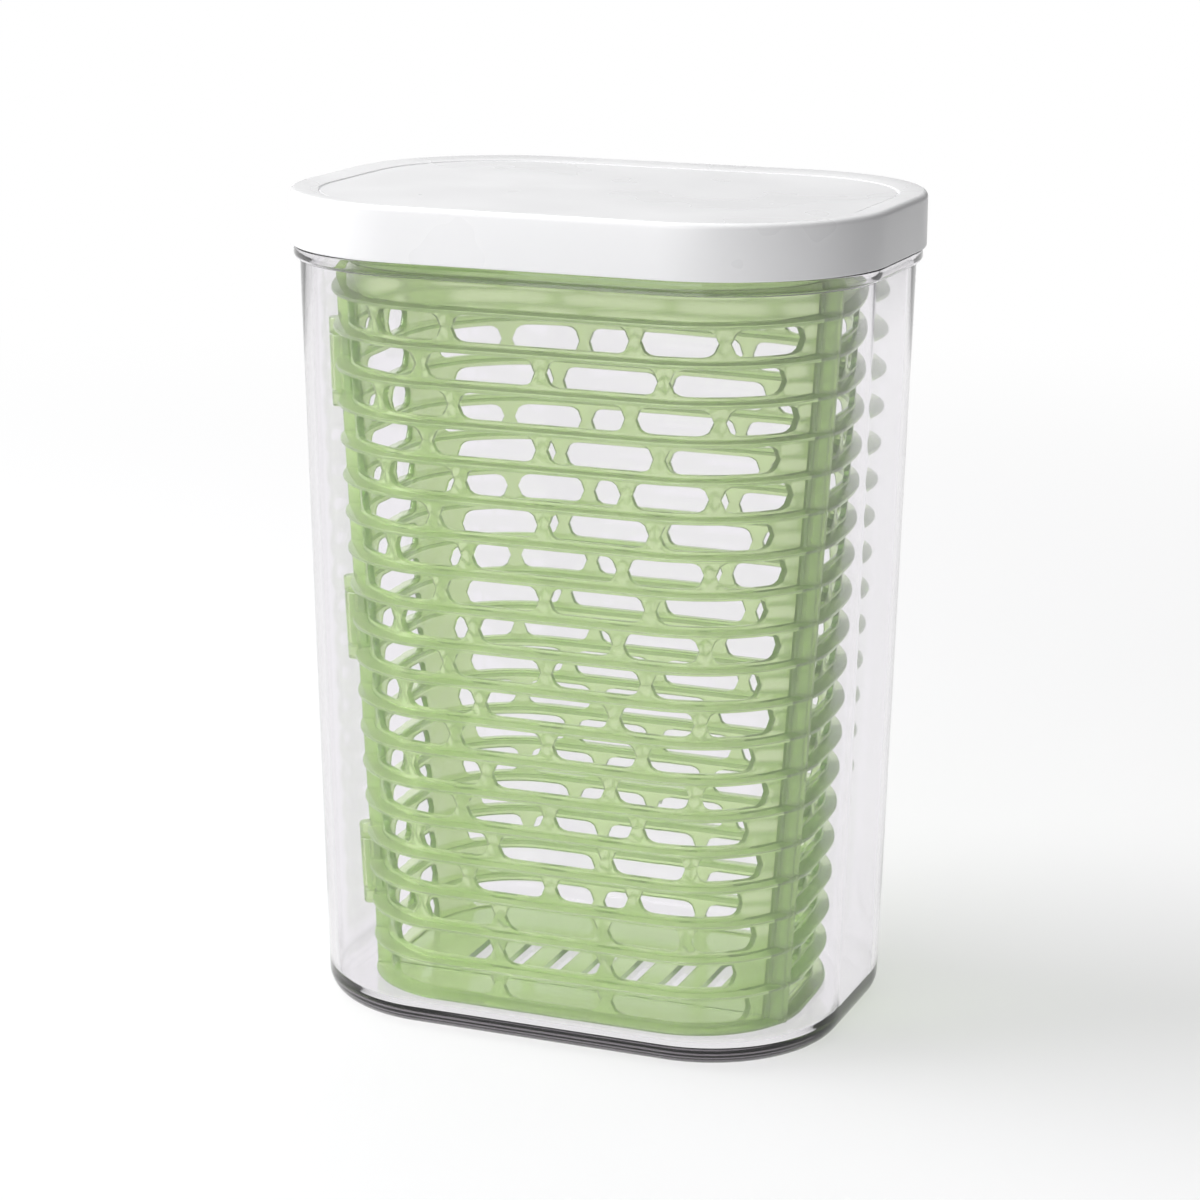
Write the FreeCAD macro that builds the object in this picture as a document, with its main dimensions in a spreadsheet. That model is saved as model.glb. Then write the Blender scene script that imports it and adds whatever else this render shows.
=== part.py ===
"""Herb keeper: a clear container, a slotted two-part basket that stands in it, and a plug-in lid.

Millimetres. Origin at the middle of the base, +Z up, the long side along X, the front towards -Y.
Every size is a named cell of the Sizes sheet. Container and lid are PartDesign bodies bound to those
cells. The two basket shells repeat hundreds of slots whose places follow the leaning wall row by row,
so they are built from the same cells with Part's own functions.
"""
import FreeCAD, Part
import math
import os
import Sketcher

SIZES = [
    ("container_base_width", 142.3, "outside, along X at the table"),
    ("container_base_depth", 100.2, "outside, along Y at the table"),
    ("container_base_corner", 36.2, "corner radius at the table"),
    ("container_lean", 0.0262, "how far each side leans out per millimetre up"),
    ("container_height", 208.6, "table to mouth edge"),
    ("container_wall", 2.4, "side wall"),
    ("container_floor", 4.5, "thick clear base"),
    ("container_heel", 6.5, "rounding where wall meets base, outside"),
    ("container_heel_inside", 4.0, "rounding where wall meets floor, inside"),
    ("rim_drop", 6.6, "mouth edge above the rim that carries the lid"),
    ("rim_thickness", 3.8, "height of that rim"),
    ("rim_bottom", "=container_height - rim_drop - rim_thickness", "underside of that rim"),
    ("rim_reach_side", 1.557, "how far the rim stands out of the wall, each short side"),
    ("rim_reach_front", 1.707, "the same, front and back"),
    ("rim_corner_growth", 0.707, "rim's corner radius over the wall's"),
    ("rim_width", "=container_base_width + 2 * (container_lean * rim_bottom + rim_reach_side)", "along X"),
    ("rim_depth", "=container_base_depth + 2 * (container_lean * rim_bottom + rim_reach_front)", "along Y"),
    ("rim_corner", "=container_base_corner + container_lean * rim_bottom + rim_corner_growth", "corner radius"),
    ("rim_edge", 1.2, "rounding under the rim"),
    ("lid_reach_side", 0.85, "skirt past the rim, each short side"),
    ("lid_reach_front", 0.8, "skirt past the rim, front and back"),
    ("lid_corner_growth", 1.7, "skirt's corner radius over the rim's"),
    ("lid_width", "=rim_width + 2 * lid_reach_side", "skirt, along X"),
    ("lid_depth", "=rim_depth + 2 * lid_reach_front", "skirt, along Y"),
    ("lid_corner", "=rim_corner + lid_corner_growth", "corner radius of the skirt"),
    ("lid_height", 14.0, "skirt edge to top"),
    ("lid_skirt", 1.8, "wall of the skirt"),
    ("lid_plate", 2.2, "thickness of the top under the dished panel"),
    ("lid_edge", 1.6, "rounding round the top"),
    ("lid_ring", 7.6, "width of the sloping ring round the panel"),
    ("lid_dish", 0.9, "how far the panel lies under the ring's edge"),
    ("liner_wall", 1.8, "walls and floor of the plug"),
    ("liner_reach", 10.2, "how far the plug hangs under the top"),
    ("liner_gap", 1.3, "plug to container mouth, each side"),
    ("seal_height", 3.6, "height of the sealing ring"),
    ("seal_seat", 1.2, "how deep the ring sits in its groove"),
    ("seal_drop", 3.4, "groove's top edge under the lid's plate"),
    ("seal_gap", 0.25, "ring to the mouth's wall"),
    ("basket_drop", 8.0, "container's mouth edge to the basket's top edge"),
    ("basket_top", "=container_height - basket_drop", "top edge of the basket"),
    ("basket_play_side", 3.506, "ribs to the container's wall at the top, each short side"),
    ("basket_play_front", 2.456, "the same, front and back"),
    ("basket_top_width", "=container_base_width + 2 * (container_lean * basket_top"
     " - container_wall - basket_play_side)", "over the ribs at the top, along X"),
    ("basket_top_depth", "=container_base_depth + 2 * (container_lean * basket_top"
     " - container_wall - basket_play_front)", "over the ribs at the top, along Y"),
    ("basket_top_corner", 40.0, "corner radius over the ribs at the top"),
    ("basket_lean", 0.055, "how far each side draws in per millimetre down"),
    ("basket_wall", 1.8, "wall of both shells"),
    ("basket_floor", 1.8, "floor of both shells"),
    ("rib_depth", 4.0, "how far a rib stands out of the wall"),
    ("rib_thickness", 1.4, "height of a rib's edge"),
    ("rib_count", 20, "ribs from the top one to the foot"),
    ("top_rib_drop", 10.9, "basket's top edge to the middle of the top rib"),
    ("foot_rib_rise", 0.9, "basket's underside to the middle of the lowest rib"),
    ("rib_pitch", "=(basket_top - top_rib_drop - foot_rib_rise - container_floor) / (rib_count - 1)",
     "rib to rib"),
    ("collar_reach_side", 1.8, "flared collar past the ribs at the top edge, each short side"),
    ("collar_reach_front", 0.85, "flared collar past the ribs, front and back"),
    ("collar_width", "=basket_top_width + 2 * collar_reach_side", "collar, along X"),
    ("collar_depth", "=basket_top_depth + 2 * collar_reach_front", "collar, along Y"),
    ("collar_corner", 38.6, "corner radius of the collar"),
    ("collar_thickness", 1.8, "thickness of the collar"),
    ("slot_height", 6.8, "height of a slot"),
    ("slot_strut", 3.0, "narrowest width of the strut between two slots"),
    ("slot_odd_middle", 50.8, "long middle slot of the odd rows, at the top row"),
    ("slot_odd_next", 22.6, "slot beside it"),
    ("slot_even_middle", 33.4, "each of the two middle slots of the even rows"),
    ("slot_lean", 0.069, "how far the struts draw in per millimetre down"),
    ("slot_end_margin", 5.2, "solid wall between a row's end and the parting"),
    ("slot_end_shift", 4.9, "how much sooner the even rows end"),
    ("side_slot", 27.0, "slot in the short side, odd rows"),
    ("foot_rows", 2, "rows at the foot with wide windows"),
    ("foot_window", 30.0, "width of a window at the foot"),
    ("parting_offset", 20.0, "parting plane, in front of the middle"),
    ("parting_gap", 0.4, "gap between the two shells"),
    ("parting_flange", 1.6, "thickness of the flange along the parting"),
    ("flange_step", 0.4, "ribs stand out past the flange"),
    ("hinge_offset", 0.5, "hinge axis outside the ribs"),
    ("door_foot_gap", 0.2, "door's underside to the floor that the tub stands on"),
    ("hinge_drop", 31.6, "basket's top edge to the middle of the top hinge"),
    ("hinge_top", "=basket_top - hinge_drop", "height of the middle of the top hinge"),
    ("hinge_rows", 7, "ribs from hinge to hinge"),
    ("hinge_spacing", "=hinge_rows * rib_pitch", "hinge to hinge"),
    ("hinge_count", 3, "hinges down the left edge"),
    ("hinge_height", 22.4, "height of a hinge over its lugs"),
    ("clip_height", 13.8, "height of the clip between the lugs"),
    ("clip_gap", 0.3, "clip to lug, up and down"),
    ("knuckle_radius", 2.3, "outside radius of lugs and clip"),
    ("pin_radius", 1.15, "moulded pin between the lugs"),
    ("pin_clearance", 0.08, "radial play of the clip on its pin"),
    ("clip_mouth", 1.5, "width of the clip's snap mouth"),
    ("knuckle_clearance", 0.5, "air round a knuckle in the other shell"),
    ("drain_width", 5.0, "width of a drain slot in the floor"),
    ("drain_pitch", 11.0, "drain slot to drain slot"),
    ("drain_length", 30.0, "length of a drain slot"),
    ("drain_count", 7, "drain slots across the floor"),
]

doc = FreeCAD.newDocument("herb_keeper")


def make_sheet():
    """Write every size into the sheet, one aliased cell each; a text that starts with = is a formula."""
    sheet = doc.addObject("Spreadsheet::Sheet", "Sizes")
    for row, (alias, number, note) in enumerate(SIZES, start=1):
        sheet.set("A%d" % row, alias)
        sheet.set("B%d" % row, str(number))
        sheet.set("C%d" % row, note)
        sheet.setAlias("B%d" % row, alias)
    doc.recompute()
    return sheet


sheet = make_sheet()


def size(alias):
    """One size, read from the sheet."""
    return float(sheet.get(alias))


# Sketches and features shared by the moulded bodies
def add_outline(sketch, width, depth, corner):
    """Add a rounded rectangle about the origin; each argument is an expression on the sheet."""
    first = sketch.GeometryCount
    half_x, half_y, radius = 75.0, 55.0, 40.0
    flat_x, flat_y = half_x - radius, half_y - radius
    corners = [(flat_x, -flat_y, 270), (flat_x, flat_y, 0), (-flat_x, flat_y, 90), (-flat_x, -flat_y, 180)]
    ends = [
        ((-flat_x, -half_y), (flat_x, -half_y)),
        ((half_x, -flat_y), (half_x, flat_y)),
        ((flat_x, half_y), (-flat_x, half_y)),
        ((-half_x, flat_y), (-half_x, -flat_y)),
    ]
    for start, end in ends:
        sketch.addGeometry(Part.LineSegment(FreeCAD.Vector(*start, 0), FreeCAD.Vector(*end, 0)))
    for centre_x, centre_y, turn in corners:
        circle = Part.Circle(FreeCAD.Vector(centre_x, centre_y, 0), FreeCAD.Vector(0, 0, 1), radius)
        sketch.addGeometry(Part.ArcOfCircle(circle, math.radians(turn), math.radians(turn + 90)))
    lines = [first + k for k in range(4)]
    arcs = [first + 4 + k for k in range(4)]
    for k in range(4):
        sketch.addConstraint(Sketcher.Constraint("Tangent", lines[k], 2, arcs[k], 1))
        sketch.addConstraint(Sketcher.Constraint("Tangent", arcs[k], 2, lines[(k + 1) % 4], 1))
        sketch.addConstraint(Sketcher.Constraint("Horizontal" if k % 2 == 0 else "Vertical", lines[k]))
    for k in range(1, 4):
        sketch.addConstraint(Sketcher.Constraint("Equal", arcs[0], arcs[k]))
    sketch.addConstraint(Sketcher.Constraint("Symmetric", lines[0], 1, lines[2], 1, -1, 1))
    measures = [
        (Sketcher.Constraint("DistanceX", lines[3], 1, lines[1], 1, 2 * half_x), width),
        (Sketcher.Constraint("DistanceY", lines[0], 1, lines[2], 1, 2 * half_y), depth),
        (Sketcher.Constraint("Radius", arcs[0], radius), corner),
    ]
    for constraint, expression in measures:
        index = sketch.addConstraint(constraint)
        sketch.setExpression("Constraints[%d]" % index, expression)


def add_sketch(body, name, height, outlines):
    """A sketch on the body's XY plane, lifted to a height, with one or more outlines."""
    sketch = body.newObject("Sketcher::SketchObject", name)
    plane = [item for item in body.Origin.OriginFeatures if item.Role == "XY_Plane"][0]
    sketch.AttachmentSupport = (plane, [""])
    sketch.MapMode = "FlatFace"
    sketch.setExpression("AttachmentOffset.Base.z", height)
    for width, depth, corner in outlines:
        add_outline(sketch, width, depth, corner)
    doc.recompute()
    return sketch


def add_feature(body, kind, name, profile, length=None, sections=(), up=True):
    """A pad, pocket or loft from a sketch; up is for a pad, and a pocket cuts downwards."""
    feature = body.newObject("PartDesign::" + kind, name)
    feature.Profile = profile
    if sections:
        feature.Sections = list(sections)
        feature.Ruled = True
    if length:
        feature.setExpression("Length", length)
        feature.Reversed = not up
    doc.recompute()
    return feature


def edges_at(shape, height, tolerance=0.01):
    """Names of the edges that lie wholly at one height."""
    names = []
    for index, edge in enumerate(shape.Edges, start=1):
        box = edge.BoundBox
        if abs(box.ZMin - height) < tolerance and abs(box.ZMax - height) < tolerance:
            names.append("Edge%d" % index)
    return names


def add_fillet(body, base, name, edge_names, radius):
    """Round the named edges of the body's last feature."""
    fillet = body.newObject("PartDesign::Fillet", name)
    fillet.Base = (base, edge_names)
    fillet.setExpression("Radius", radius)
    doc.recompute()
    return fillet


def new_body(label):
    """An empty body whose label names its file."""
    body = doc.addObject("PartDesign::Body", label)
    body.Label = label
    return body


def outline(prefix, inset="0"):
    """Width, depth and corner expressions of a named outline, drawn in by an inset."""
    return (
        "Sizes.%s_width - 2 * (%s)" % (prefix, inset),
        "Sizes.%s_depth - 2 * (%s)" % (prefix, inset),
        "Sizes.%s_corner - (%s)" % (prefix, inset),
    )


# Clear container
def container_outline(height, inset):
    """Outline of the leaning container at a height, drawn in from the outside; both are expressions."""
    lean = "Sizes.container_lean * (%s) - (%s)" % (height, inset)
    return (
        "Sizes.container_base_width + 2 * (%s)" % lean,
        "Sizes.container_base_depth + 2 * (%s)" % lean,
        "Sizes.container_base_corner + %s" % lean,
    )


def upright_faces(shape, inset):
    """Names of the upright faces that stand an inset inside the base outline."""
    reach_x = size("container_base_width") / 2 - inset
    reach_y = size("container_base_depth") / 2 - inset
    names = []
    for index, face in enumerate(shape.Faces, start=1):
        box = face.BoundBox
        nearest = min(abs(abs(reach) - edge) for reach, edge in (
            (box.XMin, reach_x), (box.XMax, reach_x), (box.YMin, reach_y), (box.YMax, reach_y)))
        if nearest < 0.01 and box.ZLength > size("container_height") / 2:
            names.append("Face%d" % index)
    return names


def add_lean(body, base, name, inset, outwards):
    """Lean a body's upright walls out from the table plane, as mould draft does."""
    lean = body.newObject("PartDesign::Draft", name)
    lean.Base = (base, upright_faces(base.Shape, inset))
    plane = [item for item in body.Origin.OriginFeatures if item.Role == "XY_Plane"][0]
    lean.NeutralPlane = (plane, [""])
    lean.setExpression("Angle", "atan(Sizes.container_lean)")
    lean.Reversed = outwards
    doc.recompute()
    return lean


def make_container():
    """Leaning clear jar with a thick base, a rounded heel and a rim that carries the lid."""
    body = new_body("container")
    low = add_sketch(body, "jar_outline", "0", [outline("container_base")])
    jar = add_feature(body, "Pad", "jar", low, "Sizes.container_height")
    jar_lean = add_lean(body, jar, "jar_lean", 0.0, True)
    add_fillet(body, jar_lean, "heel", edges_at(jar_lean.Shape, 0.0), "Sizes.container_heel")
    rim_sketch = add_sketch(body, "rim_outline", "Sizes.rim_bottom", [outline("rim")])
    rim = add_feature(body, "Pad", "rim", rim_sketch, "Sizes.rim_thickness")
    rim_edges = [name for name in edges_at(rim.Shape, size("rim_bottom"))
                 if reaches_rim(rim.Shape.getElement(name).BoundBox)]
    add_fillet(body, rim, "rim_round", rim_edges, "Sizes.rim_edge")
    inside = add_sketch(body, "inside_outline", "Sizes.container_height",
                        [outline("container_base", "Sizes.container_wall")])
    hollow = add_feature(body, "Pocket", "inside", inside, "Sizes.container_height - Sizes.container_floor")
    inside_lean = add_lean(body, hollow, "inside_lean", size("container_wall"), False)
    add_fillet(body, inside_lean, "inside_heel",
               edges_at(inside_lean.Shape, size("container_floor")), "Sizes.container_heel_inside")
    return body


def reaches_rim(box):
    """True where a box touches the rim's outside."""
    half_x, half_y, near = size("rim_width") / 2, size("rim_depth") / 2, 0.01
    return (box.XMax > half_x - near or box.XMin < near - half_x
            or box.YMax > half_y - near or box.YMin < near - half_y)


# Lid
LID_BOTTOM = "Sizes.rim_bottom + Sizes.rim_thickness"
LID_TOP = LID_BOTTOM + " + Sizes.lid_height"
LID_CEILING = LID_TOP + " - Sizes.lid_dish - Sizes.lid_plate"
LINER_BOTTOM = LID_CEILING + " - Sizes.liner_reach"
LINER_INSET = "Sizes.container_wall + Sizes.liner_gap"
GROOVE_TOP = LID_CEILING + " - Sizes.seal_drop"
GROOVE_BOTTOM = GROOVE_TOP + " - Sizes.seal_height"


def make_lid_cover():
    """White cap: plain skirt, rounded top edge, sloping ring down to a flat dished panel."""
    body = new_body("lid_cover")
    foot = add_sketch(body, "cap_outline", LID_BOTTOM, [outline("lid")])
    cap = add_feature(body, "Pad", "cap", foot, "Sizes.lid_height")
    top = size("rim_bottom") + size("rim_thickness") + size("lid_height")
    add_fillet(body, cap, "cap_edge", edges_at(cap.Shape, top), "Sizes.lid_edge")
    panel = add_sketch(body, "panel_outline", LID_TOP + " - Sizes.lid_dish", [outline("lid", "Sizes.lid_ring")])
    ring = add_sketch(body, "ring_outline", LID_TOP, [outline("lid", "Sizes.lid_edge")])
    add_feature(body, "SubtractiveLoft", "dish", panel, sections=[ring])
    ceiling = add_sketch(body, "hollow_outline", LID_CEILING, [outline("lid", "Sizes.lid_skirt")])
    hollow = "Sizes.lid_height - Sizes.lid_dish - Sizes.lid_plate"
    add_feature(body, "Pocket", "hollow", ceiling, hollow)
    return body


def make_lid_liner():
    """Plug tray under the lid, with a groove round it for the sealing ring."""
    body = new_body("lid_liner")
    foot = add_sketch(body, "plug_outline", LINER_BOTTOM, [container_outline(LINER_BOTTOM, LINER_INSET)])
    add_feature(body, "Pad", "plug", foot, "Sizes.liner_reach")
    inner = container_outline(LINER_BOTTOM, LINER_INSET + " + Sizes.liner_wall + Sizes.seal_seat")
    top = add_sketch(body, "tray_outline", LID_CEILING, [inner])
    add_feature(body, "Pocket", "tray", top, "Sizes.liner_reach - Sizes.liner_wall")
    seat = container_outline(LINER_BOTTOM, LINER_INSET + " + Sizes.seal_seat")
    around = container_outline(LINER_BOTTOM, "Sizes.container_wall")
    groove = add_sketch(body, "groove_outline", GROOVE_TOP, [around, seat])
    add_feature(body, "Pocket", "groove", groove, "Sizes.seal_height")
    return body


def make_lid_seal():
    """Soft ring that fills the groove and reaches the container's wall."""
    body = new_body("lid_seal")
    outer = container_outline(GROOVE_BOTTOM, "Sizes.container_wall + Sizes.seal_gap")
    inner = container_outline(LINER_BOTTOM, LINER_INSET + " + Sizes.seal_seat")
    foot = add_sketch(body, "ring_outline", GROOVE_BOTTOM, [outer, inner])
    add_feature(body, "Pad", "ring", foot, "Sizes.seal_height")
    return body


# Basket geometry
def rounded_wire(width, depth, corner, height):
    """Closed wire of a rounded rectangle at a height."""
    half_x, half_y = width / 2, depth / 2
    flat_x, flat_y = half_x - corner, half_y - corner
    cut = corner * math.sqrt(0.5)
    edges = []
    for sign_x, sign_y in ((1, -1), (1, 1), (-1, 1), (-1, -1)):
        first = FreeCAD.Vector(sign_x * flat_x, sign_y * half_y, height)
        middle = FreeCAD.Vector(sign_x * (flat_x + cut), sign_y * (flat_y + cut), height)
        last = FreeCAD.Vector(sign_x * half_x, sign_y * flat_y, height)
        if sign_x * sign_y > 0:
            first, last = last, first
        if edges:
            edges.append(Part.LineSegment(edges[-1].EndPoint, first))
        edges.append(Part.Arc(first, middle, last))
    edges.append(Part.LineSegment(edges[-1].EndPoint, edges[0].StartPoint))
    return Part.Wire([edge.toShape() for edge in edges])


def basket_section(height, inset):
    """Width, depth and corner of the leaning basket at a height, drawn in from the ribs' edge."""
    drawn_in = size("basket_lean") * (size("basket_top") - height) + inset
    return (size("basket_top_width") - 2 * drawn_in, size("basket_top_depth") - 2 * drawn_in,
            size("basket_top_corner") - drawn_in)


def basket_loft(low, high, inset):
    """Leaning solid between two heights: two outlines, four flat sides and four conical corners."""
    sections = [basket_section(height, inset) for height in (low, high)]
    faces = [Part.Face(rounded_wire(*sections[0], low)), Part.Face(rounded_wire(*sections[1], high))]
    width, depth, corner = sections[0]
    flat_x, flat_y = width / 2 - corner, depth / 2 - corner
    quarters = ((flat_x, flat_y), (-flat_x, flat_y), (-flat_x, -flat_y), (flat_x, -flat_y))
    for k, (x, y) in enumerate(quarters):
        centre = FreeCAD.Vector(x, y, low)
        cone = Part.makeCone(corner, sections[1][2], high - low, centre, FreeCAD.Vector(0, 0, 1), 90)
        cone.rotate(centre, FreeCAD.Vector(0, 0, 1), 90 * k)
        faces.extend(face for face in cone.Faces if "Cone" in face.Surface.TypeId)
    for sign in (-1, 1):
        (low_x, low_y), (high_x, high_y) = [(sign * part[0] / 2, sign * part[1] / 2) for part in sections]
        faces.append(Part.Face(Part.makePolygon([
            FreeCAD.Vector(-flat_x, low_y, low), FreeCAD.Vector(flat_x, low_y, low),
            FreeCAD.Vector(flat_x, high_y, high), FreeCAD.Vector(-flat_x, high_y, high),
            FreeCAD.Vector(-flat_x, low_y, low)])))
        faces.append(Part.Face(Part.makePolygon([
            FreeCAD.Vector(low_x, -flat_y, low), FreeCAD.Vector(low_x, flat_y, low),
            FreeCAD.Vector(high_x, flat_y, high), FreeCAD.Vector(high_x, -flat_y, high),
            FreeCAD.Vector(low_x, -flat_y, low)])))
    shell = Part.Shell(faces)
    shell.sewShape()
    solid = Part.Solid(shell)
    if solid.Volume < 0:
        solid.reverse()
    return solid


def rib_heights():
    """Middle height of each rib, from the top one down."""
    top = size("basket_top") - size("top_rib_drop")
    return [top - k * size("rib_pitch") for k in range(int(size("rib_count")))]


def along_wall(height, distance, inset):
    """Point of the wall's front half at a distance round from the middle, as x and y."""
    width, depth, corner = basket_section(height, inset)
    flat = width / 2 - corner
    travel = abs(distance)
    if travel <= flat:
        return distance, -depth / 2
    turn = min((travel - flat) / corner, math.pi / 2)
    x = flat + corner * math.sin(turn)
    return math.copysign(x, distance), -(depth / 2 - corner) - corner * math.cos(turn)


def row_end(height, inset):
    """Distance round the wall from the middle of the front to the parting's solid edge."""
    width, depth, corner = basket_section(height, inset)
    beyond = size("parting_offset") - (depth / 2 - corner)
    turn = math.acos(max(-1.0, min(1.0, beyond / corner)))
    return (width / 2 - corner) + corner * turn - size("slot_end_margin")


def row_slots(row, height):
    """Start and end distance of each slot of a row on the right half, and of the middle one."""
    drawn_in = size("slot_lean") * (rib_heights()[0] - height)
    end = row_end(height, size("rib_depth")) - (0.0 if row % 2 == 0 else size("slot_end_shift"))
    if row >= int(size("rib_count")) - 1 - int(size("foot_rows")):
        first = size("foot_window") / 2
        marks = [first, end]
        spans = [(-first, first)]
    elif row % 2 == 0:
        first = size("slot_odd_middle") / 2 - drawn_in
        marks = [first, first + size("slot_odd_next"), end]
        spans = [(-first, first)]
    else:
        first = size("slot_even_middle") - drawn_in
        marks = [0.0, first, end]
        spans = []
    for start, stop in zip(marks, marks[1:]):
        spans.append((start, stop))
        spans.append((-stop, -start))
    half = size("slot_strut") / 2
    return [(start + half, stop - half) for start, stop in spans]


def slot_face(start, stop, height, tall):
    """Flat slot outline in the XZ plane, its ends turned in by three flats each."""
    radius = min(tall, stop - start) / 2
    points = []
    for side, centre in ((1, stop - radius), (-1, start + radius)):
        for turn in (-90, -30, 30, 90):
            angle = math.radians(turn * side)
            points.append(FreeCAD.Vector(centre + side * radius * math.cos(angle), 0,
                                         height + tall / 2 * math.sin(angle)))
    return Part.Face(Part.makePolygon(points + points[:1]))


def slot_rows():
    """Number and middle height of each slot row, from the top down."""
    ribs = rib_heights()
    return [(row, (upper + lower) / 2) for row, (upper, lower) in enumerate(zip(ribs, ribs[1:]))]


def front_slots():
    """Cutters for the slots of the front, straight along Y as the mould draws them."""
    cutters = []
    reach = size("basket_top_depth") / 2
    flange = size("parting_offset") + size("parting_gap") / 2 + size("parting_flange")
    for row, height in slot_rows():
        for start, stop in row_slots(row, height):
            left = along_wall(height, start, size("rib_depth"))[0]
            right = along_wall(height, stop, size("rib_depth"))[0]
            face = slot_face(left, right, height, size("slot_height"))
            face.translate(FreeCAD.Vector(0, -reach, 0))
            cutters.append(face.extrude(FreeCAD.Vector(0, reach - flange, 0)))
    return cutters


def side_slots():
    """Cutters for the slots of the short sides, straight along X, one or two in a row."""
    cutters = []
    reach = size("basket_top_width")
    half = size("slot_strut") / 2
    for row, height in slot_rows():
        span = size("side_slot") / 2
        pieces = [(-span, span)] if row % 2 == 0 else [(-span, -half), (half, span)]
        for start, stop in pieces:
            face = slot_face(start, stop, height, size("slot_height"))
            face.rotate(FreeCAD.Vector(), FreeCAD.Vector(0, 0, 1), 90)
            face.translate(FreeCAD.Vector(-reach / 2, 0, 0))
            cutters.append(face.extrude(FreeCAD.Vector(reach, 0, 0)))
    return cutters


def mirrored(shapes):
    """The same shapes on the other side of the XZ plane."""
    return [shape.mirror(FreeCAD.Vector(), FreeCAD.Vector(0, 1, 0)) for shape in shapes]


def drain_slots():
    """Cutters for the drain slots of the floor."""
    cutters = []
    count = int(size("drain_count"))
    low, tall = size("container_floor") - 1, size("basket_floor") + 2
    radius = size("drain_width") / 2
    for k in range(count):
        x = (k - (count - 1) / 2) * size("drain_pitch")
        face = slot_face(-size("drain_length") / 2, size("drain_length") / 2, 0, 2 * radius)
        face.rotate(FreeCAD.Vector(), FreeCAD.Vector(1, 0, 0), 90)
        face.rotate(FreeCAD.Vector(), FreeCAD.Vector(0, 0, 1), 90)
        face.translate(FreeCAD.Vector(x, 0, low))
        cutters.append(face.extrude(FreeCAD.Vector(0, 0, tall)))
    return cutters


def half_space(front):
    """Block that holds one side of the parting plane, less half the gap, and clears the floor."""
    reach, low = size("lid_width"), size("container_floor")
    if front:
        low += size("door_foot_gap")
    edge = -size("parting_offset") + (-1 if front else 1) * size("parting_gap") / 2
    corner = FreeCAD.Vector(-reach, edge - 2 * reach if front else edge, low)
    return Part.makeBox(2 * reach, 2 * reach, size("basket_top"), corner)


def plate(measures, low, thickness):
    """Flat rounded plate from a height upwards."""
    return Part.Face(rounded_wire(*measures, low)).extrude(FreeCAD.Vector(0, 0, thickness))


def basket_shell():
    """The closed basket before it is parted: leaning wall, ribs, collar and the parting's flanges."""
    floor, top = size("container_floor"), size("basket_top")
    half = size("rib_thickness") / 2
    pieces = []
    for height in rib_heights():
        low = max(height - half, floor)
        pieces.append(plate(basket_section(height, 0.0), low, height + half - low))
    collar = (size("collar_width"), size("collar_depth"), size("collar_corner"))
    pieces.append(plate(collar, top - size("collar_thickness"), size("collar_thickness")))
    wall = basket_loft(floor, top, size("rib_depth"))
    inside = basket_loft(floor + size("basket_floor"), top, size("rib_depth") + size("basket_wall"))
    return wall.fuse(pieces).cut(inside).fuse(parting_flanges())


def parting_flanges():
    """Upright flanges of both shells, back to back along the parting, rooted in the wall."""
    low, high = size("container_floor"), size("basket_top") - size("collar_thickness") / 2
    reach = size("lid_width")
    thick = 2 * size("parting_flange") + size("parting_gap")
    band = Part.makeBox(2 * reach, thick, high - low,
                        FreeCAD.Vector(-reach, -size("parting_offset") - thick / 2, low))
    core = basket_loft(low, high, size("rib_depth") + size("basket_wall") / 2)
    return basket_loft(low, high, size("flange_step")).common(band).cut(core).Solids


# Hinges along the left edge of the parting
def hinge_point(height):
    """Point of the hinge axis at a height, just outside the ribs on the parting plane."""
    width, depth, corner = basket_section(height, 0.0)
    beyond = size("parting_offset") - (depth / 2 - corner)
    edge = width / 2 - corner + math.sqrt(corner ** 2 - beyond ** 2)
    return FreeCAD.Vector(-edge - size("hinge_offset"), -size("parting_offset"), height)


def hinge_line():
    """Top hinge's middle, and the axis direction down to the lowest one."""
    lowest = size("hinge_top") - (int(size("hinge_count")) - 1) * size("hinge_spacing")
    top = hinge_point(size("hinge_top"))
    axis = hinge_point(lowest) - top
    return top, axis.normalize()


def rod(middle, axis, radius, length):
    """Cylinder centred on a point of the hinge axis."""
    return Part.makeCylinder(radius, length, middle - axis * (length / 2), axis)


def lug_block(middle, axis, tall, front):
    """Web that ties a knuckle to its own shell's flange."""
    depth = size("knuckle_radius")
    width = size("rib_depth") + size("hinge_offset")
    edge = size("parting_gap") / 2
    corner = FreeCAD.Vector(0, edge if not front else -edge - depth, -tall / 2)
    block = Part.makeBox(width, depth, tall, corner)
    block.Placement = FreeCAD.Placement(
        middle, FreeCAD.Rotation(FreeCAD.Vector(0, 0, -1), axis)).multiply(block.Placement)
    return block


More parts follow.
